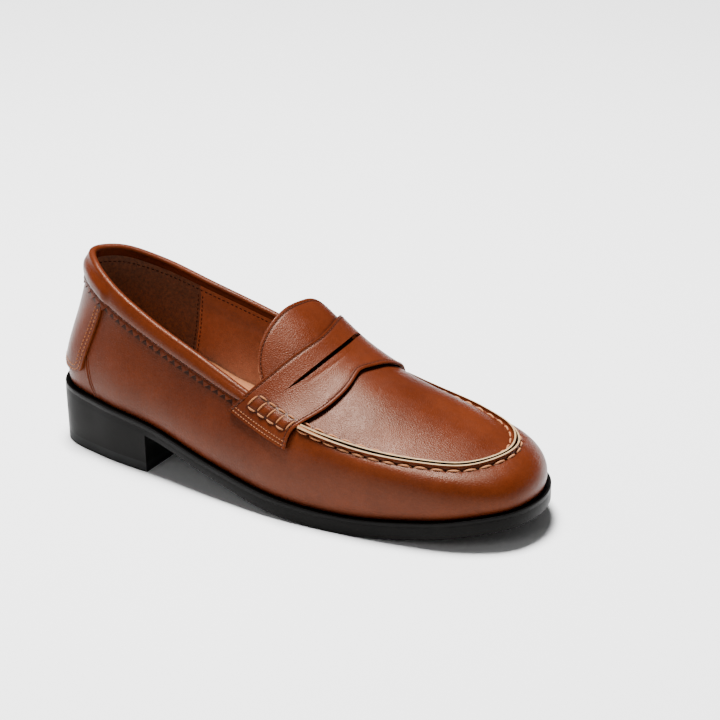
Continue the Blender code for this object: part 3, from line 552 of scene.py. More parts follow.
class Look:
    """A Principled material, with short ways to add procedural nodes."""

    def __init__(self, name, colour, roughness, **sockets):
        self.material = bpy.data.materials.new(name)
        self.material.use_nodes = True
        self.tree = self.material.node_tree
        self.shader = self.tree.nodes["Principled BSDF"]
        self.drive(self.shader, Base_Color=(*colour, 1), Roughness=roughness, **sockets)
        self.place = self.tree.nodes.new("ShaderNodeTexCoord").outputs["Object"]
        self.bump = None

    def drive(self, node, **sockets):
        """Sets inputs of a node, each to a constant or to the output that drives it."""
        for name, value in sockets.items():
            self.set(node.inputs[name.replace("_", " ")], value)

    def set(self, socket, value):
        if isinstance(value, bpy.types.NodeSocket):
            self.tree.links.new(value, socket)
        else:
            socket.default_value = value

    def node(self, kind, **sockets):
        made = self.tree.nodes.new("ShaderNode" + kind)
        self.drive(made, **sockets)
        return made

    def noise(self, scale, detail=4.0, roughness=0.55, stretch=None):
        place = self.place
        if stretch:
            place = self.node("Mapping", Vector=place, Scale=stretch).outputs["Vector"]
        made = self.node("TexNoise", Vector=place, Scale=scale, Detail=detail, Roughness=roughness)
        return made.outputs["Fac"]

    def cells(self, scale):
        made = self.node("TexVoronoi", Vector=self.place, Scale=scale)
        made.feature = "DISTANCE_TO_EDGE"
        return made.outputs["Distance"]

    def painted_shade(self):
        """The painted shade that the mesh gives the leather here, from 0 to 1."""
        made = self.node("Attribute")
        made.attribute_name = "dark"
        return made.outputs["Fac"]

    def ramp(self, factor, *stops):
        """A colour that follows the factor between two stops, each a position and a colour."""
        made = self.node("ValToRGB", Fac=factor)
        for element, (position, colour) in zip(made.color_ramp.elements, stops):
            element.position = position
            element.color = (*colour, 1)
        return made.outputs["Color"]

    def spread(self, factor, low, high):
        """A number between low and high that follows the middle range of a noise."""
        limits = dict(From_Min=0.3, From_Max=0.7, To_Min=low, To_Max=high)
        return self.node("MapRange", Value=factor, **limits).outputs["Result"]

    def mix(self, factor, first, second, blend="MIX"):
        made = self.node("Mix")
        made.data_type = "RGBA"
        made.blend_type = blend
        for place, value in ((0, factor), (6, first), (7, second)):
            self.set(made.inputs[place], value)
        return made.outputs[2]

    def relief(self, height, distance, strength):
        """Adds a bump on top of the ones before it."""
        made = self.node("Bump", Height=height, Distance=distance, Strength=strength)
        if self.bump:
            self.drive(made, Normal=self.bump)
        self.bump = made.outputs["Normal"]
        self.drive(self.shader, Normal=self.bump)


SHINE = 0.17  # how strongly the leathers reflect, where 0.5 is the usual amount
WARM = (1.0, 0.68, 0.50, 1.0)  # the tint of what they reflect


def leather(name, light, dark, roughness=0.34, grain=1.0):
    """Smooth calf: cloudy colour, a fine pebbled grain, faint creases, a soft polish, and a darker tone of
    painted shade where the mesh asks for it.
    """
    look = Look(name, light, roughness, Specular_IOR_Level=SHINE, Specular_Tint=WARM)
    # the colour of the painted shade, a much darker tone of the leather's dark colour
    shade_colour = (dark[0] * 0.16, dark[1] * 0.10, dark[2] * 0.10, 1)
    clouds = look.noise(26, 3)
    mottle = look.noise(420, 5, 0.65)
    colour = look.ramp(clouds, (0.32, dark), (0.68, light))
    fleck = look.ramp(mottle, (0.35, (0.84, 0.82, 0.80)), (0.65, (1, 1, 1)))
    colour = look.mix(1.0, colour, fleck, "MULTIPLY")
    polish = look.spread(look.noise(90, 4), roughness - 0.05, roughness + 0.07)
    look.drive(look.shader, Base_Color=look.mix(look.painted_shade(), colour, shade_colour), Roughness=polish)
    look.relief(look.cells(1000), 0.22 * MM * grain, 0.6)
    look.relief(look.noise(1900, 4, 0.7), 0.14 * MM * grain, 0.65)
    look.relief(look.noise(120, 3, 0.5, (1.0, 2.2, 1.0)), 0.25 * MM, 0.15)
    return look.material


def plain(name, colour, roughness, scale, depth, variation=0.15, shine=0.5, **sockets):
    """A material with fine noise in its colour, roughness and relief."""
    look = Look(name, colour, roughness, Specular_IOR_Level=shine, **sockets)
    dark = tuple(value * (1 - variation) for value in colour)
    light = tuple(min(value * (1 + variation), 1) for value in colour)
    polish = look.spread(look.noise(scale / 8, 3), roughness - 0.06, roughness + 0.06)
    tint = look.ramp(look.noise(scale / 4), (0.3, dark), (0.7, light))
    look.drive(look.shader, Base_Color=tint, Roughness=polish)
    look.relief(look.noise(scale, 4), depth, 0.5)
    return look.material


COGNAC = leather("cognac_calf", (0.084, 0.0148, 0.0034), (0.056, 0.0089, 0.0020))
COGNAC_STRAP = leather("cognac_strap", (0.088, 0.0160, 0.0040), (0.060, 0.0097, 0.0025))
# After a leather's two colours: its roughness and grain, where they aren't those of the polished upper
COGNAC_EDGE = leather("cognac_cut_edge", (0.16, 0.038, 0.012), (0.11, 0.024, 0.007), 0.50, 0.6)
DARK_EDGE = leather("dark_cut_edge", (0.070, 0.018, 0.008), (0.045, 0.012, 0.005), 0.60, 0.6)
# After a plain material's colour: its roughness, the scale and depth of its relief, how much its colour varies
RAW_EDGE = plain("raw_leather_edge", (0.34, 0.21, 0.10), 0.75, 1600, 0.08 * MM, 0.25)
FLESH_SIDE = plain("flesh_side", (0.14, 0.06, 0.03), 0.9, 1500, 0.1 * MM)
# the raised seam's flesh side is painted nearly black and dull: painted shade in the narrow gap between its
# two leathers
SHADED_SEAM_FLESH = plain("seam_flesh_in_painted_shade", (0.020, 0.009, 0.005), 0.9, 1500, 0.1 * MM, shine=0.05)
LINING_LEATHER = leather("lining_leather", (0.38, 0.145, 0.078), (0.28, 0.105, 0.053), 0.5, 0.7)
TAN_SOCK = leather("sock_leather", (0.36, 0.14, 0.06), (0.27, 0.10, 0.04), 0.6, 0.7)
SUEDE = plain("brown_suede", (0.13, 0.055, 0.024), 0.95, 2600, 0.18 * MM, 0.35, Sheen_Weight=0.4)
THREAD_SEAM = plain("thread_seam", (0.33, 0.135, 0.062), 0.7, 3500, 0.12 * MM, 0.2, shine=0.1)
THREAD_TAN = plain("thread_tan", (0.26, 0.098, 0.040), 0.7, 3500, 0.12 * MM, 0.2, shine=0.1)
THREAD_BROWN = plain("thread_brown", (0.055, 0.014, 0.006), 0.7, 3500, 0.1 * MM, 0.2, shine=0.1)
# near-black discs of painted shade for the needle holes
HOLE_SHADE = plain("needle_hole_shade", (0.010, 0.004, 0.003), 0.9, 1500, 0.01 * MM, shine=0.05)
BLACK_EDGE = plain("sole_edge_black", (0.0036, 0.0033, 0.0030), 0.42, 700, 0.05 * MM, 0.2, shine=0.04)
BLACK_RUBBER = plain("sole_rubber_black", (0.005, 0.005, 0.005), 0.6, 500, 0.1 * MM, 0.2, shine=0.1)
CORK = plain("pressed_cork", (0.36, 0.22, 0.12), 0.9, 420, 0.3 * MM, 0.45)
BOARD = plain("fibre_board", (0.48, 0.38, 0.26), 0.85, 800, 0.1 * MM, 0.2)
FOAM = plain("foam", (0.62, 0.57, 0.46), 0.95, 1400, 0.2 * MM, 0.1)
STEEL = plain("steel", (0.58, 0.58, 0.58), 0.33, 1200, 0.02 * MM, 0.08, Metallic=1.0)

UPPER_LOOKS = (COGNAC, FLESH_SIDE, COGNAC_EDGE)
SEAM_LOOKS = (COGNAC, SHADED_SEAM_FLESH, RAW_EDGE)
SEAM_EDGE = 0.8 * MM  # skived leather of the raised seam, thinner than the rest


# ---- bottom -----------------------------------------------------------------------------------

SOLE_ROUNDING = 0.04 * MM


def outsole_foot(x):
    return np.maximum(welt_top(x) - TREAD_RISE * profile(SOLE_EDGE, x), 0)


def sock_top(x):
    soft = 1 - fade(HEEL_BREAST - 6 * MM, HEEL_BREAST + PAD_RUN, x)
    pad = HEEL_PAD_EDGE + (HEEL_PAD - HEEL_PAD_EDGE) * soft
    return welt_top(x) + INSOLE_TOP + pad + 2 * CLEARANCE + SOCK


def rim_line(outline, height, medial, end):
    """One side of an outline at a height, from the heel to the end, closer where it is round."""
    half = halves(outline)[medial]
    end = half[-1, 0] if end is None else end
    x = half[0, 0] + (end - half[0, 0]) * crowded(150)
    return np.stack([x, np.interp(x, half[:, 0], half[:, 1]), height(x)], -1)


def plate(name, node, slot, levels, material, edge, end=None, columns=10):
    """A solid of the given section: levels are (outline, height function) pairs, lowest first."""
    corners = [rim_line(*level, 0, end) for level in levels]
    corners += [rim_line(*level, 1, end) for level in reversed(levels)]
    lateral_top, medial_top = corners[len(levels) - 1], corners[len(levels)]
    across = np.linspace(0, 1, columns + 1)[1:-1]
    upper = [lateral_top + (medial_top - lateral_top) * share for share in across]
    under = [corners[-1] + (corners[0] - corners[-1]) * share for share in across]
    loop = corners[:len(levels)] + upper + corners[len(levels):] + under
    grid = np.stack(loop + loop[:1], 1)
    shape = Shape(grid)
    for row in (-1, 0):
        shape.add(grid[row, :-1], [tuple(range(len(loop)))])
    piece = shape.build(name, (material,), face_out=True)
    rounded(piece, edge, 0.7)
    stands_for(piece, slot, node)


def make_bottom():
    heel_foot, heel_joint, heel_head = (
        inset(SOLE, HEEL_TAPER * (1 - level))
        for level in (0.0, HEEL_TOP / float(outsole_foot(from_back(0.0))), 1.0)
    )
    joint = (heel_joint, lambda x: 0 * x + HEEL_TOP)
    plate("heel_top_piece_rubber", "heel_top_piece", "sole_rubber", [(heel_foot, lambda x: 0 * x), joint],
          BLACK_RUBBER, 0.3 * MM, HEEL_BREAST)
    plate("heel_block_stack", "heel_block", "heel_stack", [joint, (heel_head, outsole_foot)],
          BLACK_EDGE, SOLE_ROUNDING, HEEL_BREAST)
    worn = 0.25 * MM * fade(HEEL_BREAST, HEEL_BREAST + 6 * MM, SOLE[:, 0])
    levels = [(inset(SOLE, worn), outsole_foot), (SOLE, lambda x: outsole_foot(x) + 0.5 * MM),
              (SOLE, lambda x: welt_top(x) - WELT)]
    plate("outsole_edge", "outsole", "sole_rubber", levels, BLACK_EDGE, SOLE_ROUNDING)
    make_welt()
    sock = inset(SOLE, FEATHER_INSET + 2.1 * MM)
    plate("sock_lining_leather", "sock_lining", "sock_leather",
          [(sock, lambda x: sock_top(x) - SOCK), (sock, sock_top)], TAN_SOCK, 0.3 * MM, columns=40)


def make_welt():
    """The welt: a flat ledge with a small raised lip at its rim, and a shallow line under the lip."""
    section = (
        (WELT_WIDTH, 0.0), (FEATHER_INSET + 0.6 * MM, 0.0), (FEATHER_INSET - 0.3 * MM, -0.25 * MM),
        (0.9 * MM, -0.25 * MM), (0.55 * MM, 0.0), (0.25 * MM, 0.0), (0.05 * MM, -0.1 * MM),
        (0.0, -0.35 * MM), (0.0, -WELT), (WELT_WIDTH, -WELT),
    )
    s = np.arange(520) / 520
    loops = []
    for distance, height in section:
        plan = round_the_shoe(inset(SOLE, distance), s)
        loops.append(np.column_stack([plan, welt_top(plan[:, 0]) + height]))
    grid = np.stack(loops + loops[:1], 1)
    shape = Shape(np.concatenate([grid, grid[:1]]))
    welt = shape.build("welt_ledge", (BLACK_EDGE,), face_out=True)
    stands_for(welt, "welt_black", "welt")


# ---- upper ------------------------------------------------------------------------------------

MOC_STITCHES = 28
FILLET = 1.2 * MM
HEEL_SEAM_GAP = 0.15 * MM / LENGTH  # as a part of s


def seam_line(t):
    return SEAM_FOOT + (SEAM_TOP - SEAM_FOOT) * np.minimum(np.asarray(t) / SEAM_TURN, 1)


def ridge_ends():
    """The s where the raised seam comes out from under the strap, on the lateral and medial side."""
    return [float(s_at(strap_front(v) - 1.0 * MM, v > 0)) for v in (-1.0, 1.0)]


RIDGE_FROM, RIDGE_TO = ridge_ends()


def ridge_share(s):
    return fade(RIDGE_FROM, RIDGE_FROM + 0.005, s) * (1 - fade(RIDGE_TO - 0.005, RIDGE_TO, s))


def pull(s):
    """1 at the seam's needle holes, 0 at the middle of its stitches."""
    phase = (s - RIDGE_FROM) / (RIDGE_TO - RIDGE_FROM) * MOC_STITCHES
    return ((1 + np.cos(2 * np.pi * phase)) / 2) ** 6 * ridge_share(s)


def turned_up(tangent_point, corner, upward, height):
    """Points of an edge that turns up: a small fillet, then straight to the crest."""
    share = np.linspace(0, 1, 6)[1:, None]
    rim = [tangent_point * (1 - u) ** 2 + 2 * u * (1 - u) * corner
           + u ** 2 * (corner + upward * np.minimum(FILLET, height)[:, None]) for u in share]
    crest = [corner + upward * (FILLET + (height - FILLET) * u)[:, None] * (height > 0)[:, None]
             for u in (0.5, 1.0)]
    return np.stack(rim + crest, 1)


def seam_dents(grid, s, distance):
    """The grid drawn in at the seam's needle holes, less and less away from the seam."""
    return lifted(grid, -0.30 * MM * pull(s) * np.exp(-(distance / (2.2 * MM)) ** 2))


# painted shadow of the strap on the leather under and round it
STRAP_SHADE = 0.85  # how dark the leather is under the strap


def strap_shadow(x, v):
    """1 under the strap and 0 a little way outside its edges."""
    share = np.clip((x - strap_back(v)) / (strap_front(v) - strap_back(v)), 0, 1)
    past_end = (np.abs(v) - strap_foot(share)) * wall_height(0.3)
    off = np.maximum(np.maximum(strap_back(v) - x, x - strap_front(v)), past_end)
    return 1 - fade(-0.2 * MM, 1.3 * MM, off)


def wall_shadow(s, t, points):
    """Painted shade on the wall: at the feather line, round the strap, and between the collar's teeth."""
    height = wall_height(s[:, -1])[:, None]
    foot = 0.7 * np.exp(-(t * height / (0.9 * MM)) ** 2)
    strap = strap_shadow(points[..., 0], np.where(s > 0.5, 2 - t, t - 2))
    tips = COLLAR_FOOT * height - TOOTH / 2
    collar = fade(tips - 0.5 * MM, tips + 0.25 * MM, t * height)
    lateral_end, medial_end = collar_end(False, 1.0), collar_end(True, 1.0)
    collar = collar * ((s < lateral_end) | (s > medial_end))
    return np.maximum(np.maximum(foot, 0.9 * collar), STRAP_SHADE * strap)


def wall_levels(top=1.0):
    """The t of the wall's rows, closer together at its ends and under the collar's teeth."""
    teeth = np.linspace(COLLAR_FOOT - 0.05, COLLAR_FOOT + 0.01, 10)[None, :]
    return np.sort(np.concatenate([crowded(50, 0.6)[None, :] * top, teeth + 0 * top], axis=1), axis=1)


def make_vamp():
    k = np.linspace(0, 1, 700)[:, None]
    start = seam_line(1.0) + HEEL_SEAM_GAP
    top = (start + (1 - 2 * start) * k)[:, 0]
    t = wall_levels(1 - FILLET / wall_height(top)[:, None])
    start = seam_line(t) + HEEL_SEAM_GAP
    s = start + (1 - 2 * start) * k
    grid = wall(s, t)
    to_seam = (1 - t) * wall_height(top)[:, None]
    shadow = wall_shadow(s, t, grid)
    # painted shade along the foot of the raised seam, darker at its needle holes
    moc = np.exp(-(to_seam / (1.6 * MM)) ** 2) * ridge_share(s)
    shadow = np.maximum(shadow, moc * (0.45 + 0.35 * pull(s)))
    grid = seam_dents(grid, s, to_seam)
    rim = turned_up(grid[:, -1], wall(top, 1.0), wall_normal(top, 1.0), RIDGE * ridge_share(top))
    shadow = np.pad(np.pad(shadow, ((0, 0), (2, 0)), "edge"), ((0, 0), (0, rim.shape[1])))
    shape = Shape(np.concatenate([tucked(s), grid, rim], axis=1), dark=shadow)
    sheet("vamp_leather", "vamp", "upper_leather", shape, SEAM_EDGE, SEAM_LOOKS)


def tucked(s):
    """Two rows of points below the feather line, where the upper turns in over the welt."""
    foot, side = round_the_shoe(FEATHER, s[:, 0]), outward(s[:, 0])
    return np.stack([foot - side * 3 * MM, foot - side * 0.7 * MM], 1)


def make_heel_quarter():
    k = np.linspace(0, 1, 150)[:, None]
    t = wall_levels() + 0 * k
    s = (seam_line(t) - HEEL_SEAM_GAP) * (2 * k - 1)
    points = wall(s, t)
    shadow = np.pad(wall_shadow(s % 1.0, t, points), ((0, 0), (2, 0)), "edge")
    shape = Shape(np.concatenate([tucked(s), points], axis=1), dark=shadow)
    sheet("heel_quarter_leather", "heel_quarter", "upper_leather", shape, UPPER, UPPER_LOOKS)
    make_heel_seams()


def make_heel_seams():
    """The turned edges of the heel seams, a thin bead down each side below the tab."""
    t = np.linspace(0.012, 0.36, 60)
    shape = Shape()
    for turn in (1, -1):
        for shift, radius in ((0.0009, 0.75 * MM), (-0.0022, 0.5 * MM)):
            s = turn * (seam_line(t) - shift)
            tube(shape, on_wall(s, t, -0.35 / 0.75 * radius), wall_normal(s, t), radius)
    stands_for(shape.build("heel_seam_edges", (COGNAC,)), "upper_leather")


TAB_CORNER, TAB_ROWS = 6.5 * MM, (1.5 * MM, 3.7 * MM)


def tab_size():
    """(half width, foot, top) of the heel tab in metres along the wall."""
    height = float(wall_height(0.0))
    return BACKSTAY_SIDE * ROUND_THE_TOP, BACKSTAY_FOOT * height, (COLLAR_FOOT + 0.03) * height


def tab_outline(margin):
    """(s, t) along a line inside the heel tab's edge: down one side, across the foot, up the other."""
    half, foot, top = tab_size()
    turn = np.linspace(0, np.pi / 2, 16)
    radius = TAB_CORNER - margin
    corner_x = half - TAB_CORNER + radius * np.cos(turn)
    corner_z = foot + TAB_CORNER - radius * np.sin(turn)
    across = np.concatenate([[half - margin], corner_x, -corner_x[::-1], [margin - half]])
    climb = np.concatenate([[top], corner_z, corner_z[::-1], [top]])
    run = lengths(np.stack([across, climb], -1))
    at = np.linspace(0, run[-1], 160)
    return np.interp(at, run, across) / ROUND_THE_TOP, np.interp(at, run, climb) / float(wall_height(0.0))


def make_backstay():
    """The heel tab over the back, stitched down with two rows, its top under the collar."""
    half, foot, top = tab_size()
    turn = np.linspace(0, np.pi / 2, 14)
    corner = foot + TAB_CORNER * (1 - np.cos(turn))
    climb = np.concatenate([corner, np.linspace(corner[-1], top, 50)[1:]])[None, :]
    into = np.clip(foot + TAB_CORNER - climb, 0, TAB_CORNER)
    width = half - TAB_CORNER + np.sqrt(TAB_CORNER ** 2 - into ** 2)
    s = np.linspace(-1, 1, 121)[:, None] * width / ROUND_THE_TOP
    lift = CLEARANCE + UPPER
    t = climb / float(wall_height(0.0)) + 0 * s
    # painted shade on the tab's top, between and below the collar's teeth
    shape = Shape(on_wall(s, t, lift), dark=0.9 * fade(COLLAR_FOOT - 0.035, COLLAR_FOOT - 0.015, t))
    sheet("backstay_leather", "backstay", "upper_leather", shape, UPPER, UPPER_LOOKS, 0.35 * MM)
    stitches = Shape()
    for margin in TAB_ROWS:
        s, t = tab_outline(margin)
        keep = t < COLLAR_FOOT - 0.03
        stitch_line(stitches, (on_wall(s, t, lift)[keep], wall_normal(s, t)[keep]), 2.0 * MM,
                    radius=0.24 * MM, hole=0.22 * MM)
    threads("backstay_stitches", stitches, THREAD_TAN, "upper_leather")


def make_apron():
    reach = 2 * UPPER + SEAM_GAP
    start = from_back(APRON_BACK)
    count = 170
    s = np.concatenate([
        np.linspace(float(s_at(start, False)), 0.5, count + 1),
        np.linspace(0.5, float(s_at(start, True)), count + 1)[1:],
    ])
    edge = round_the_shoe(TOP, s)
    along = round_the_shoe(TOP, s + 1e-3) - round_the_shoe(TOP, s - 1e-3)
    inward = leftward(along)

    def inside(distance):
        plan = edge[:, :2] + inward * np.reshape(distance, (-1, 1))
        return np.column_stack([plan, arch_height(plan[:, 0], plan[:, 1])])

    slope = (inside(reach)[:, 2] - edge[:, 2]) / reach
    foot = reach / np.sqrt(1 + slope ** 2)
    upward = wall_normal(s, np.ones_like(s))
    margins = np.array([1.2, 2.2, 3.4, 4.8, 6.4, 8.2]) * MM
    rim = np.stack([inside(foot + margin) for margin in margins], 1)
    rim = lifted(rim, -0.12 * MM * pull(s)[:, None] * np.exp(-((margins - FILLET) / (1.5 * MM)) ** 2))
    turned = turned_up(rim[:, 0], inside(foot), upward, RIDGE * ridge_share(s))
    rim = np.concatenate([turned[:, ::-1], rim], axis=1)
    near, far = rim[:count + 1, -1], rim[count:, -1][::-1]
    share = np.linspace(0, 1, 61)[None, :, None]
    plan = near[:, None, :2] + (far - near)[:, None, :2] * share
    middle = np.dstack([plan, arch_height(plan[..., 0], plan[..., 1])])
    middle[:, 0], middle[:, -1] = near, far
    last = count - 6  # the rows end before the toe, and one face closes the rest
    middle = middle[:last + 1]
    rest = np.concatenate([rim[last:2 * count - last + 1, -1], middle[last, 1:-1][::-1]])
    # painted shade along the foot of the raised seam, and the strap's painted shadow
    seam = np.exp(-((margins - FILLET) / (1.3 * MM)) ** 2)[None, :] * ridge_share(s)[:, None]
    seam = np.pad(0.3 * seam, ((0, 0), (turned.shape[1], 0)))
    shape = Shape(rim, dark=np.maximum(seam, STRAP_SHADE * strap_ahead(rim)))
    shape.add_grid(middle, dark=STRAP_SHADE * strap_ahead(middle))
    shape.add(rest, [tuple(range(len(rest)))])
    sheet("apron_leather", "apron", "upper_leather", shape, SEAM_EDGE, SEAM_LOOKS, weld=2e-5)
    foot_line = turned.shape[1]
    make_moc_stitches(s, rim[:, foot_line], normals(rim)[:, foot_line])


def strap_ahead(points):
    """The strap's shadow on points of the arch."""
    lateral, medial = top_at(points[..., 0])
    v = np.clip((2 * points[..., 1] - lateral - medial) / np.maximum(medial - lateral, MM), -1, 1)
    return strap_shadow(points[..., 0], v)


def make_moc_stitches(s, inner_line, inner_facing):
    """The apron seam's thread: a row of long stitches at the foot of the ridge on each side."""
    shape = Shape()
    seam = np.linspace(RIDGE_FROM, RIDGE_TO, 1200)
    t = 1 - 0.9 * MM / wall_height(seam)
    look = dict(fill=0.80, radius=0.52 * MM, rise=0.8, hole=0.5 * MM)
    outer = on_wall(seam, t, 0.1 * MM), wall_normal(seam, t)
    inner = along_line(seam, s, inner_line), along_line(seam, s, inner_facing)
    run_of_stitches(shape, *outer, MOC_STITCHES, bow=0.3 * MM, **look)
    run_of_stitches(shape, *inner, MOC_STITCHES, bow=-0.25 * MM, **look)
    threads("apron_seam_thread", shape, THREAD_SEAM, "upper_leather")


STRAP_LINES = np.concatenate([
    np.linspace(-2, -1, 61)[:-1], np.linspace(-1, 1, 281), np.linspace(1, 2, 61)[1:]
])
EDGE_ROWS = ((False, 1.4 * MM), (True, 2.3 * MM))  # from the strap's rear edge, and from its front edge
END_ROWS = [(from_end, distance) for from_end in (False, True) for distance in (1.4 * MM, 3.4 * MM)]
BROWN_ROW = dict(pitch=2.3 * MM, fill=0.66, radius=0.27 * MM, rise=0.75)
LADDER = (0.94, 1.36)  # |w| of the ladder's rails
LADDER_FROM, LADDER_TO, LADDER_SQUARES = 0.16, 0.90, 4


def strap_surface(place, w):
    """The surface under the strap; past |w| = 1 it runs down the wall to the strap's end at |w| = 2."""
    foot = strap_foot(place)
    v = np.where(np.abs(w) <= 1, w, np.sign(w) * (1 + (np.abs(w) - 1) * (foot - 1)))
    back, front = strap_back(v), strap_front(v)
    return over(back + (front - back) * place, v)


def make_strap():
    w = STRAP_LINES[None, :]
    half_slot = 0.8 * SLOT_WIDTH / 2 * np.sqrt(np.clip(1 - np.abs(w / SLOT_SIDE) ** 8, 0, 1))
    half_slot = half_slot / (strap_front(w) - strap_back(w))
    middle = slot_share(w)
    rear, fore = crowded(22)[:, None], crowded(26)[:, None]
    place = np.concatenate([
        rear * (middle - half_slot), middle + half_slot + (1 - middle - half_slot) * fore
    ])
    grid = soften(strap_surface(place, w + 0 * place), 1, 140)
    grid = lifted(grid, STRAP_GAP + STRAP)
    rail_from, rail_to = LADDER
    depth = np.clip((np.abs(w) - rail_from) / (rail_to - rail_from), 0, 1)
    along = np.clip((place - LADDER_FROM) / (LADDER_TO - LADDER_FROM), 0, 1)
    squares = np.abs(np.sin(np.pi * along * LADDER_SQUARES))
    grid = lifted(grid, 0.60 * MM * np.sqrt(np.sin(np.pi * depth) * squares))
    shadow = ladder_shadow(grid, squares, along)
    crease = fade(-0.62, -0.4, w) * (1 - fade(-0.05, 0.12, w))
    crease_place = middle + (3.6 * MM + 1.4 * MM * (w + 0.2)) / (strap_front(w) - strap_back(w))
    off = (place - crease_place) * (strap_front(w) - strap_back(w)) / (0.5 * MM)
    grid = lifted(grid, -0.22 * MM * crease * np.exp(-off ** 2))
    from_front = distance_in(grid, 0, True)
    grid = lifted(grid, 0.40 * MM * np.sin(np.pi * np.clip(from_front / (2.3 * MM), 0, 1)))
    for from_end, distance in EDGE_ROWS:
        grid = groove(grid, distance, 0, from_end, 0.30 * MM, 0.5 * MM)
        # painted shade in each stitch row's groove
        shadow = np.maximum(shadow, 0.5 * near_line(grid, distance, 0, from_end, 0.6 * MM))
    for from_end, distance in END_ROWS:
        grid = groove(grid, distance, 1, from_end, 0.16 * MM, 0.4 * MM)
    shape = Shape(grid, (len(rear) - 1,), shadow)
    looks = (COGNAC_STRAP, FLESH_SIDE, COGNAC_EDGE)
    sheet("saddle_strap_leather", "saddle_strap", "strap_leather", shape, STRAP, looks, 0.45 * MM)
    make_strap_stitches(grid)
    make_ladders(grid, place)


def ladder_shadow(grid, squares, along):
    """Painted shade along the ladder's rails and rungs, where its thread presses into the strap."""
    run = distance_in(grid, 1)
    rails, between = 0.0, 0.0
    for side in (-1, 1):
        inner, outer = (np.abs(STRAP_LINES - side * w).argmin() for w in LADDER)
        for column in (inner, outer):
            rails = np.maximum(rails, np.exp(-((run - run[:, [column]]) / (1.1 * MM)) ** 2))
        low, high = sorted((inner, outer))
        zone = (run > run[:, [low]] - 0.5 * MM) & (run < run[:, [high]] + 0.5 * MM)
        between = np.maximum(between, zone * np.exp(-(squares / 0.55) ** 2))
    inside = (along > 0) & (along < 1)
    return 0.9 * np.maximum(rails, between) * inside


def make_strap_stitches(grid):
    brown, tan = Shape(), Shape()
    for from_end, distance in EDGE_ROWS:
        line = line_in(grid, distance, 0, from_end)
        stitch_line(brown, line, start=1.5 * MM, end=1.5 * MM, hole=0.36 * MM, **BROWN_ROW)
    for from_end, distance in END_ROWS:
        stitch_line(tan, line_in(grid, distance, 1, from_end), 1.7 * MM, 1.4 * MM, 2.0 * MM,
                    radius=0.22 * MM, hole=0.2 * MM)
    threads("strap_edge_stitches", brown, THREAD_BROWN, "strap_leather")
    threads("strap_end_stitches", tan, THREAD_TAN, "strap_leather")


def make_ladders(grid, place):
    """Thick thread in a ladder across each end of the strap: two rails and five rungs."""
    shape = Shape()
    facing = normals(grid)
    for side in (-1, 1):
        rails = []
        for w in LADDER:
            column = np.abs(STRAP_LINES - side * w).argmin()
            keep = np.linspace(LADDER_FROM, LADDER_TO, 80)
            rails.append([along_line(keep, place[:, column], line[:, column]) for line in (grid, facing)])
            run_of_stitches(shape, *rails[-1], LADDER_SQUARES, fill=0.80, radius=0.48 * MM, rise=0.9)
        for i in range(LADDER_SQUARES + 1):
            at = min(int(round(i * 79 / LADDER_SQUARES)), 79)
            share = np.linspace(0, 1, 20)[:, None]
            points = rails[0][0][at] * (1 - share) + rails[1][0][at] * share
            normal = rails[0][1][at] * (1 - share) + rails[1][1][at] * share
            points = points + normal * 0.25 * MM * np.sin(np.pi * share)
            run_of_stitches(shape, points, normal, 1, fill=0.90, radius=0.52 * MM, rise=0.95)
    threads("strap_ladder_thread", shape, THREAD_TAN, "strap_leather")


TONGUE_ROW = 1.8 * MM


def make_tongue():
    share = crowded(50, 0.8)[:, None]
    v = np.linspace(-TONGUE_SIDE, TONGUE_SIDE, 161)[None, :]
    end = from_back(APRON_BACK) + LAP
    x = tongue_back(v) + (end - tongue_back(v)) * share
    grid = soften(over(x, v + 0 * x), 1, 30)
    grid = lifted(grid, -(UPPER + ARCH_GAP) * fade(strap_back(v), strap_back(v) + 8 * MM, x))
    grid = groove(grid, TONGUE_ROW, 0, False, 0.28 * MM, 0.5 * MM)
    # the strap's painted shadow, and painted shade in the stitching groove
    shadow = np.maximum(strap_shadow(x, v), 0.5 * near_line(grid, TONGUE_ROW, 0, False, 0.6 * MM))
    shape = Shape(grid, dark=shadow)
    sheet("tongue_leather", "tongue", "upper_leather", shape, UPPER, UPPER_LOOKS, 0.4 * MM)
    stitches = Shape()
    line = line_in(grid, TONGUE_ROW, 0)
    stitch_line(stitches, line, start=1 * MM, end=1 * MM, hole=0.34 * MM, **BROWN_ROW)
    threads("tongue_stitches", stitches, THREAD_BROWN, "upper_leather")
    under = Shape(lifted(grid, -UPPER - 0.1 * MM))
    sheet("tongue_lining_leather", "tongue_lining", "lining_leather", under, LINING, (LINING_LEATHER,) * 3)


COLLAR_TEETH = 53
TOOTH, COLLAR_ROW = 2.6 * MM, 2.1 * MM  # a tooth's height, and the stitching above the band's foot


def collar_end(medial, t):
    """s where the collar ends, a little way under the strap's rear edge."""
    v = 2 - t if medial else t - 2
    return s_at(strap_back(v) + 1.5 * MM, medial)


def collar_s(share, t):
    return np.where(share < 0, share * (1 - collar_end(True, t)), share * collar_end(False, t))


def over_tab(s):
    """How far the collar's foot is lifted by the heel tab under it."""
    return (UPPER + 0.1 * MM) * (1 - fade(BACKSTAY_SIDE, BACKSTAY_SIDE + 0.012, np.abs(s)))


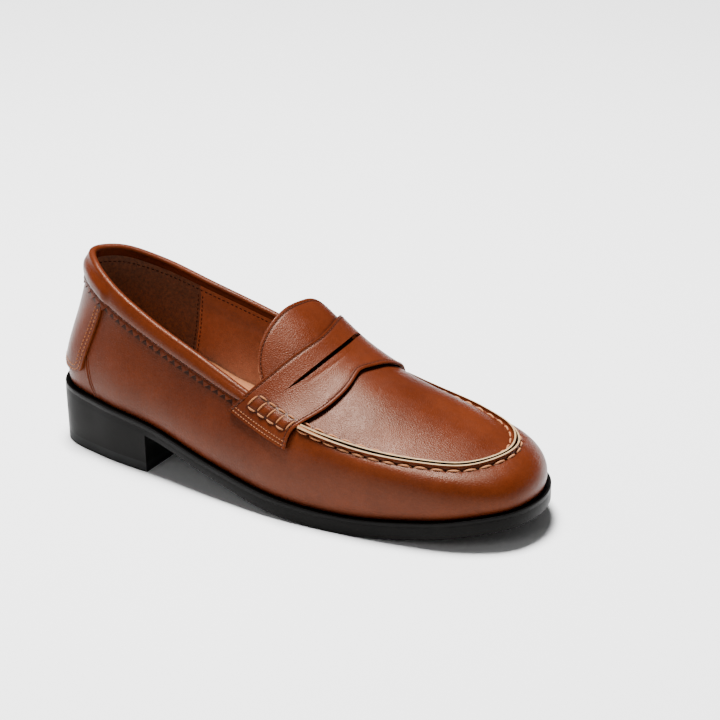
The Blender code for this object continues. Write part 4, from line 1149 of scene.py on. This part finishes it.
def make_collar():
    """A band folded over the top edge: pinked outside, padded, rolled over, turned down inside."""
    steps = 8 * COLLAR_TEETH
    share = np.linspace(-1, 1, steps + 1)[:, None]
    phase = np.arange(steps + 1)[:, None] / 8 % 1
    tooth = np.abs(phase - 0.5) * 2
    height = wall_height(collar_s(share[:, 0], 1.0))[:, None]
    low = COLLAR_FOOT + (tooth - 0.5) * TOOTH / height
    climb = crowded(26, 0.5)[None, :]
    t = low + (1 - low) * climb
    from_foot = (t - COLLAR_FOOT) * height
    band = (1 - COLLAR_FOOT) * height
    belly = np.clip((from_foot - 2.4 * MM) / (band - 2.4 * MM), 0, 1)
    puff = 0.95 * MM * np.sin(np.pi * belly ** 0.8) ** 0.8 + 0.1 * MM
    line = np.exp(-((from_foot - COLLAR_ROW) / (0.55 * MM)) ** 2)
    s = collar_s(share, t)
    lift = CLEARANCE + COLLAR + puff - 0.3 * MM * line + over_tab(s) * (1 - fade(0.5, 1.0, belly))
    outside = on_wall(s, t, lift)
    s = collar_s(share[:, 0], 1.0)
    top, normal = wall(s, 1.0), wall_normal(s, np.ones_like(s))
    rise = unit(top - wall(s, 0.98))
    inner_depth = UPPER + LINING + 2 * CLEARANCE
    radius = 1.9 * MM
    centre = top - normal * (radius - CLEARANCE - COLLAR)
    roll = np.stack([centre + radius * (normal * np.cos(turn) + rise * np.sin(turn))
                     for turn in np.linspace(0, np.pi, 15)[1:-1]], 1)
    down = np.linspace(1, COLLAR_INSIDE, 9)[None, :]
    thick = 2 * radius - CLEARANCE - COLLAR
    depth = inner_depth + (thick - inner_depth) * fade(COLLAR_INSIDE, 1.0, down)
    inside = on_wall(s[:, None], down, -depth)
    shape = Shape(np.concatenate([outside, roll, inside], axis=1))
    looks = (COGNAC, FLESH_SIDE, DARK_EDGE)
    sheet("collar_leather", "collar", "collar_leather", shape, COLLAR, looks, 0.12 * MM)
    stitches = Shape()
    t = COLLAR_FOOT + COLLAR_ROW / height[:, 0]
    s = collar_s(share[:, 0], t)
    line = on_wall(s, t, CLEARANCE + COLLAR - 0.15 * MM + over_tab(s))
    stitch_line(stitches, (line, wall_normal(s, t)), 2.0 * MM, fill=0.66, radius=0.24 * MM, hole=0.24 * MM)
    threads("collar_stitches", stitches, THREAD_BROWN, "collar_leather")


def lining_depth(t):
    """How far the linings' outer face lies inside the wall: deeper where a stiffener is between them."""
    inner = UPPER + STIFFENER + 2 * CLEARANCE
    outer = UPPER + CLEARANCE
    return inner + (outer - inner) * fade(COUNTER_TOP + 0.02, 0.86, t)


def make_linings():
    make_lining("heel_grip_suede", "heel_grip_lining", "grip_suede", -GRIP_SIDE, GRIP_SIDE, LINING_TOP, SUEDE)
    for node, start, end, top in (
        ("quarter_lining_lateral", GRIP_SIDE, LINING_JOINT, LINING_TOP),
        ("quarter_lining_medial", 1 - LINING_JOINT, 1 - GRIP_SIDE, LINING_TOP),
        ("vamp_lining", LINING_JOINT, 1 - LINING_JOINT, 0.92),
    ):
        make_lining(node + "_leather", node, "lining_leather", start, end, top, LINING_LEATHER)
    make_lining_stitches()


def make_lining(name, node, slot, start, end, top, material):
    foot = 4.6 * MM / wall_height(0.25)
    s = np.linspace(start, end, int(abs(end - start) * 420))[:, None]
    t = foot + (top - foot) * np.linspace(0, 1, 36)[None, :]
    grid = on_wall(s, t, -lining_depth(0 * t if node == "vamp_lining" else t))
    sheet(name, node, slot, Shape(grid), LINING, (material,) * 3, 0.1 * MM)


def make_lining_stitches():
    """The stitching that joins the heel grip to the quarter linings, inside the shoe."""
    shape = Shape()
    t = np.linspace(0.16, 0.86, 120)
    for base in (GRIP_SIDE, 1 - GRIP_SIDE):
        for offset in (-0.0022, 0.0022):
            s = base + offset + 0 * t
            depth = lining_depth(t) + LINING
            line = (on_wall(s, t, -depth), -wall_normal(s, t))
            stitch_line(shape, line, 2.4 * MM, radius=0.25 * MM)
    s = np.linspace(-0.26, 0.26, 600)
    t = 0.905 + 0 * s
    line = (on_wall(s, t, -lining_depth(t) - LINING), -wall_normal(s, t))
    stitch_line(shape, line, 2.4 * MM, radius=0.25 * MM)
    threads("lining_stitches", shape, THREAD_BROWN, "lining_leather")


def finish_hidden_parts():
    """Procedural materials for the CAD pieces that stay, all of them inside the shoe."""
    kept = {
        "bottom_filler": CORK, "seat_filler": CORK, "insole_board": BOARD, "heel_counter": BOARD,
        "toe_puff": BOARD, "heel_pad": FOAM, "shank": STEEL, "apron_lining": LINING_LEATHER,
    }
    kept.update({name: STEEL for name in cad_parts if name.startswith(("heel_nail", "shank_rivet"))})
    for name, material in kept.items():
        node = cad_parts[name]
        node.data.materials.clear()
        node.data.materials.append(material)


# ---- studio -----------------------------------------------------------------------------------

CAMERA_AZIMUTH, CAMERA_ELEVATION = np.radians(30.14), np.radians(23.6)
CAMERA_DISTANCE, CAMERA_LENS = 1.5193, 160.07
CAMERA_TARGET = Vector((0.0216, 0.0178, 0.0579))


def aim(thing, target):
    thing.rotation_euler = (Vector(target) - thing.location).to_track_quat("-Z", "Y").to_euler()


def make_camera():
    data = bpy.data.cameras.new("camera")
    data.lens = CAMERA_LENS
    data.sensor_width = 36
    camera = bpy.data.objects.new("camera", data)
    level = np.cos(CAMERA_ELEVATION)
    away = Vector((np.sin(CAMERA_AZIMUTH) * level, -np.cos(CAMERA_AZIMUTH) * level,
                   np.sin(CAMERA_ELEVATION)))
    camera.location = CAMERA_TARGET + away * CAMERA_DISTANCE
    aim(camera, CAMERA_TARGET)
    bpy.context.scene.collection.objects.link(camera)
    bpy.context.scene.camera = camera


def make_light(name, place, size, power, target=(0.02, 0, 0.04)):
    data = bpy.data.lights.new(name, "AREA")
    data.shape = "RECTANGLE"
    data.size, data.size_y = size
    data.energy = power
    light = bpy.data.objects.new(name, data)
    light.location = place
    aim(light, target)
    bpy.context.scene.collection.objects.link(light)


def make_studio():
    edge = np.linspace(-4, 4, 9)
    shape = Shape(np.stack([*np.meshgrid(edge, edge, indexing="ij"), np.zeros((9, 9))], -1))
    look = Look("studio_floor", (0.90, 0.90, 0.90), 0.55)
    look.drive(look.shader, Base_Color=look.ramp(look.noise(3, 2), (0.3, (0.89,) * 3), (0.7, (0.91,) * 3)))
    floor = shape.build("floor", (look.material,))
    world = bpy.data.worlds.new("studio")
    world.use_nodes = True
    world.node_tree.nodes["Background"].inputs["Color"].default_value = (1, 1, 1, 1)
    world.node_tree.nodes["Background"].inputs["Strength"].default_value = 0.16
    bpy.context.scene.world = world
    make_light("key", (-0.26, 0.14, 1.6), (0.5, 0.5), 125)
    make_light("front", (-0.1, -1.5, 1.1), (0.9, 0.7), 4)


def main():
    make_camera()
    make_studio()
    make_bottom()
    make_vamp()
    make_heel_quarter()
    make_backstay()
    make_linings()
    make_apron()
    make_tongue()
    make_strap()
    make_collar()
    finish_hidden_parts()


main()
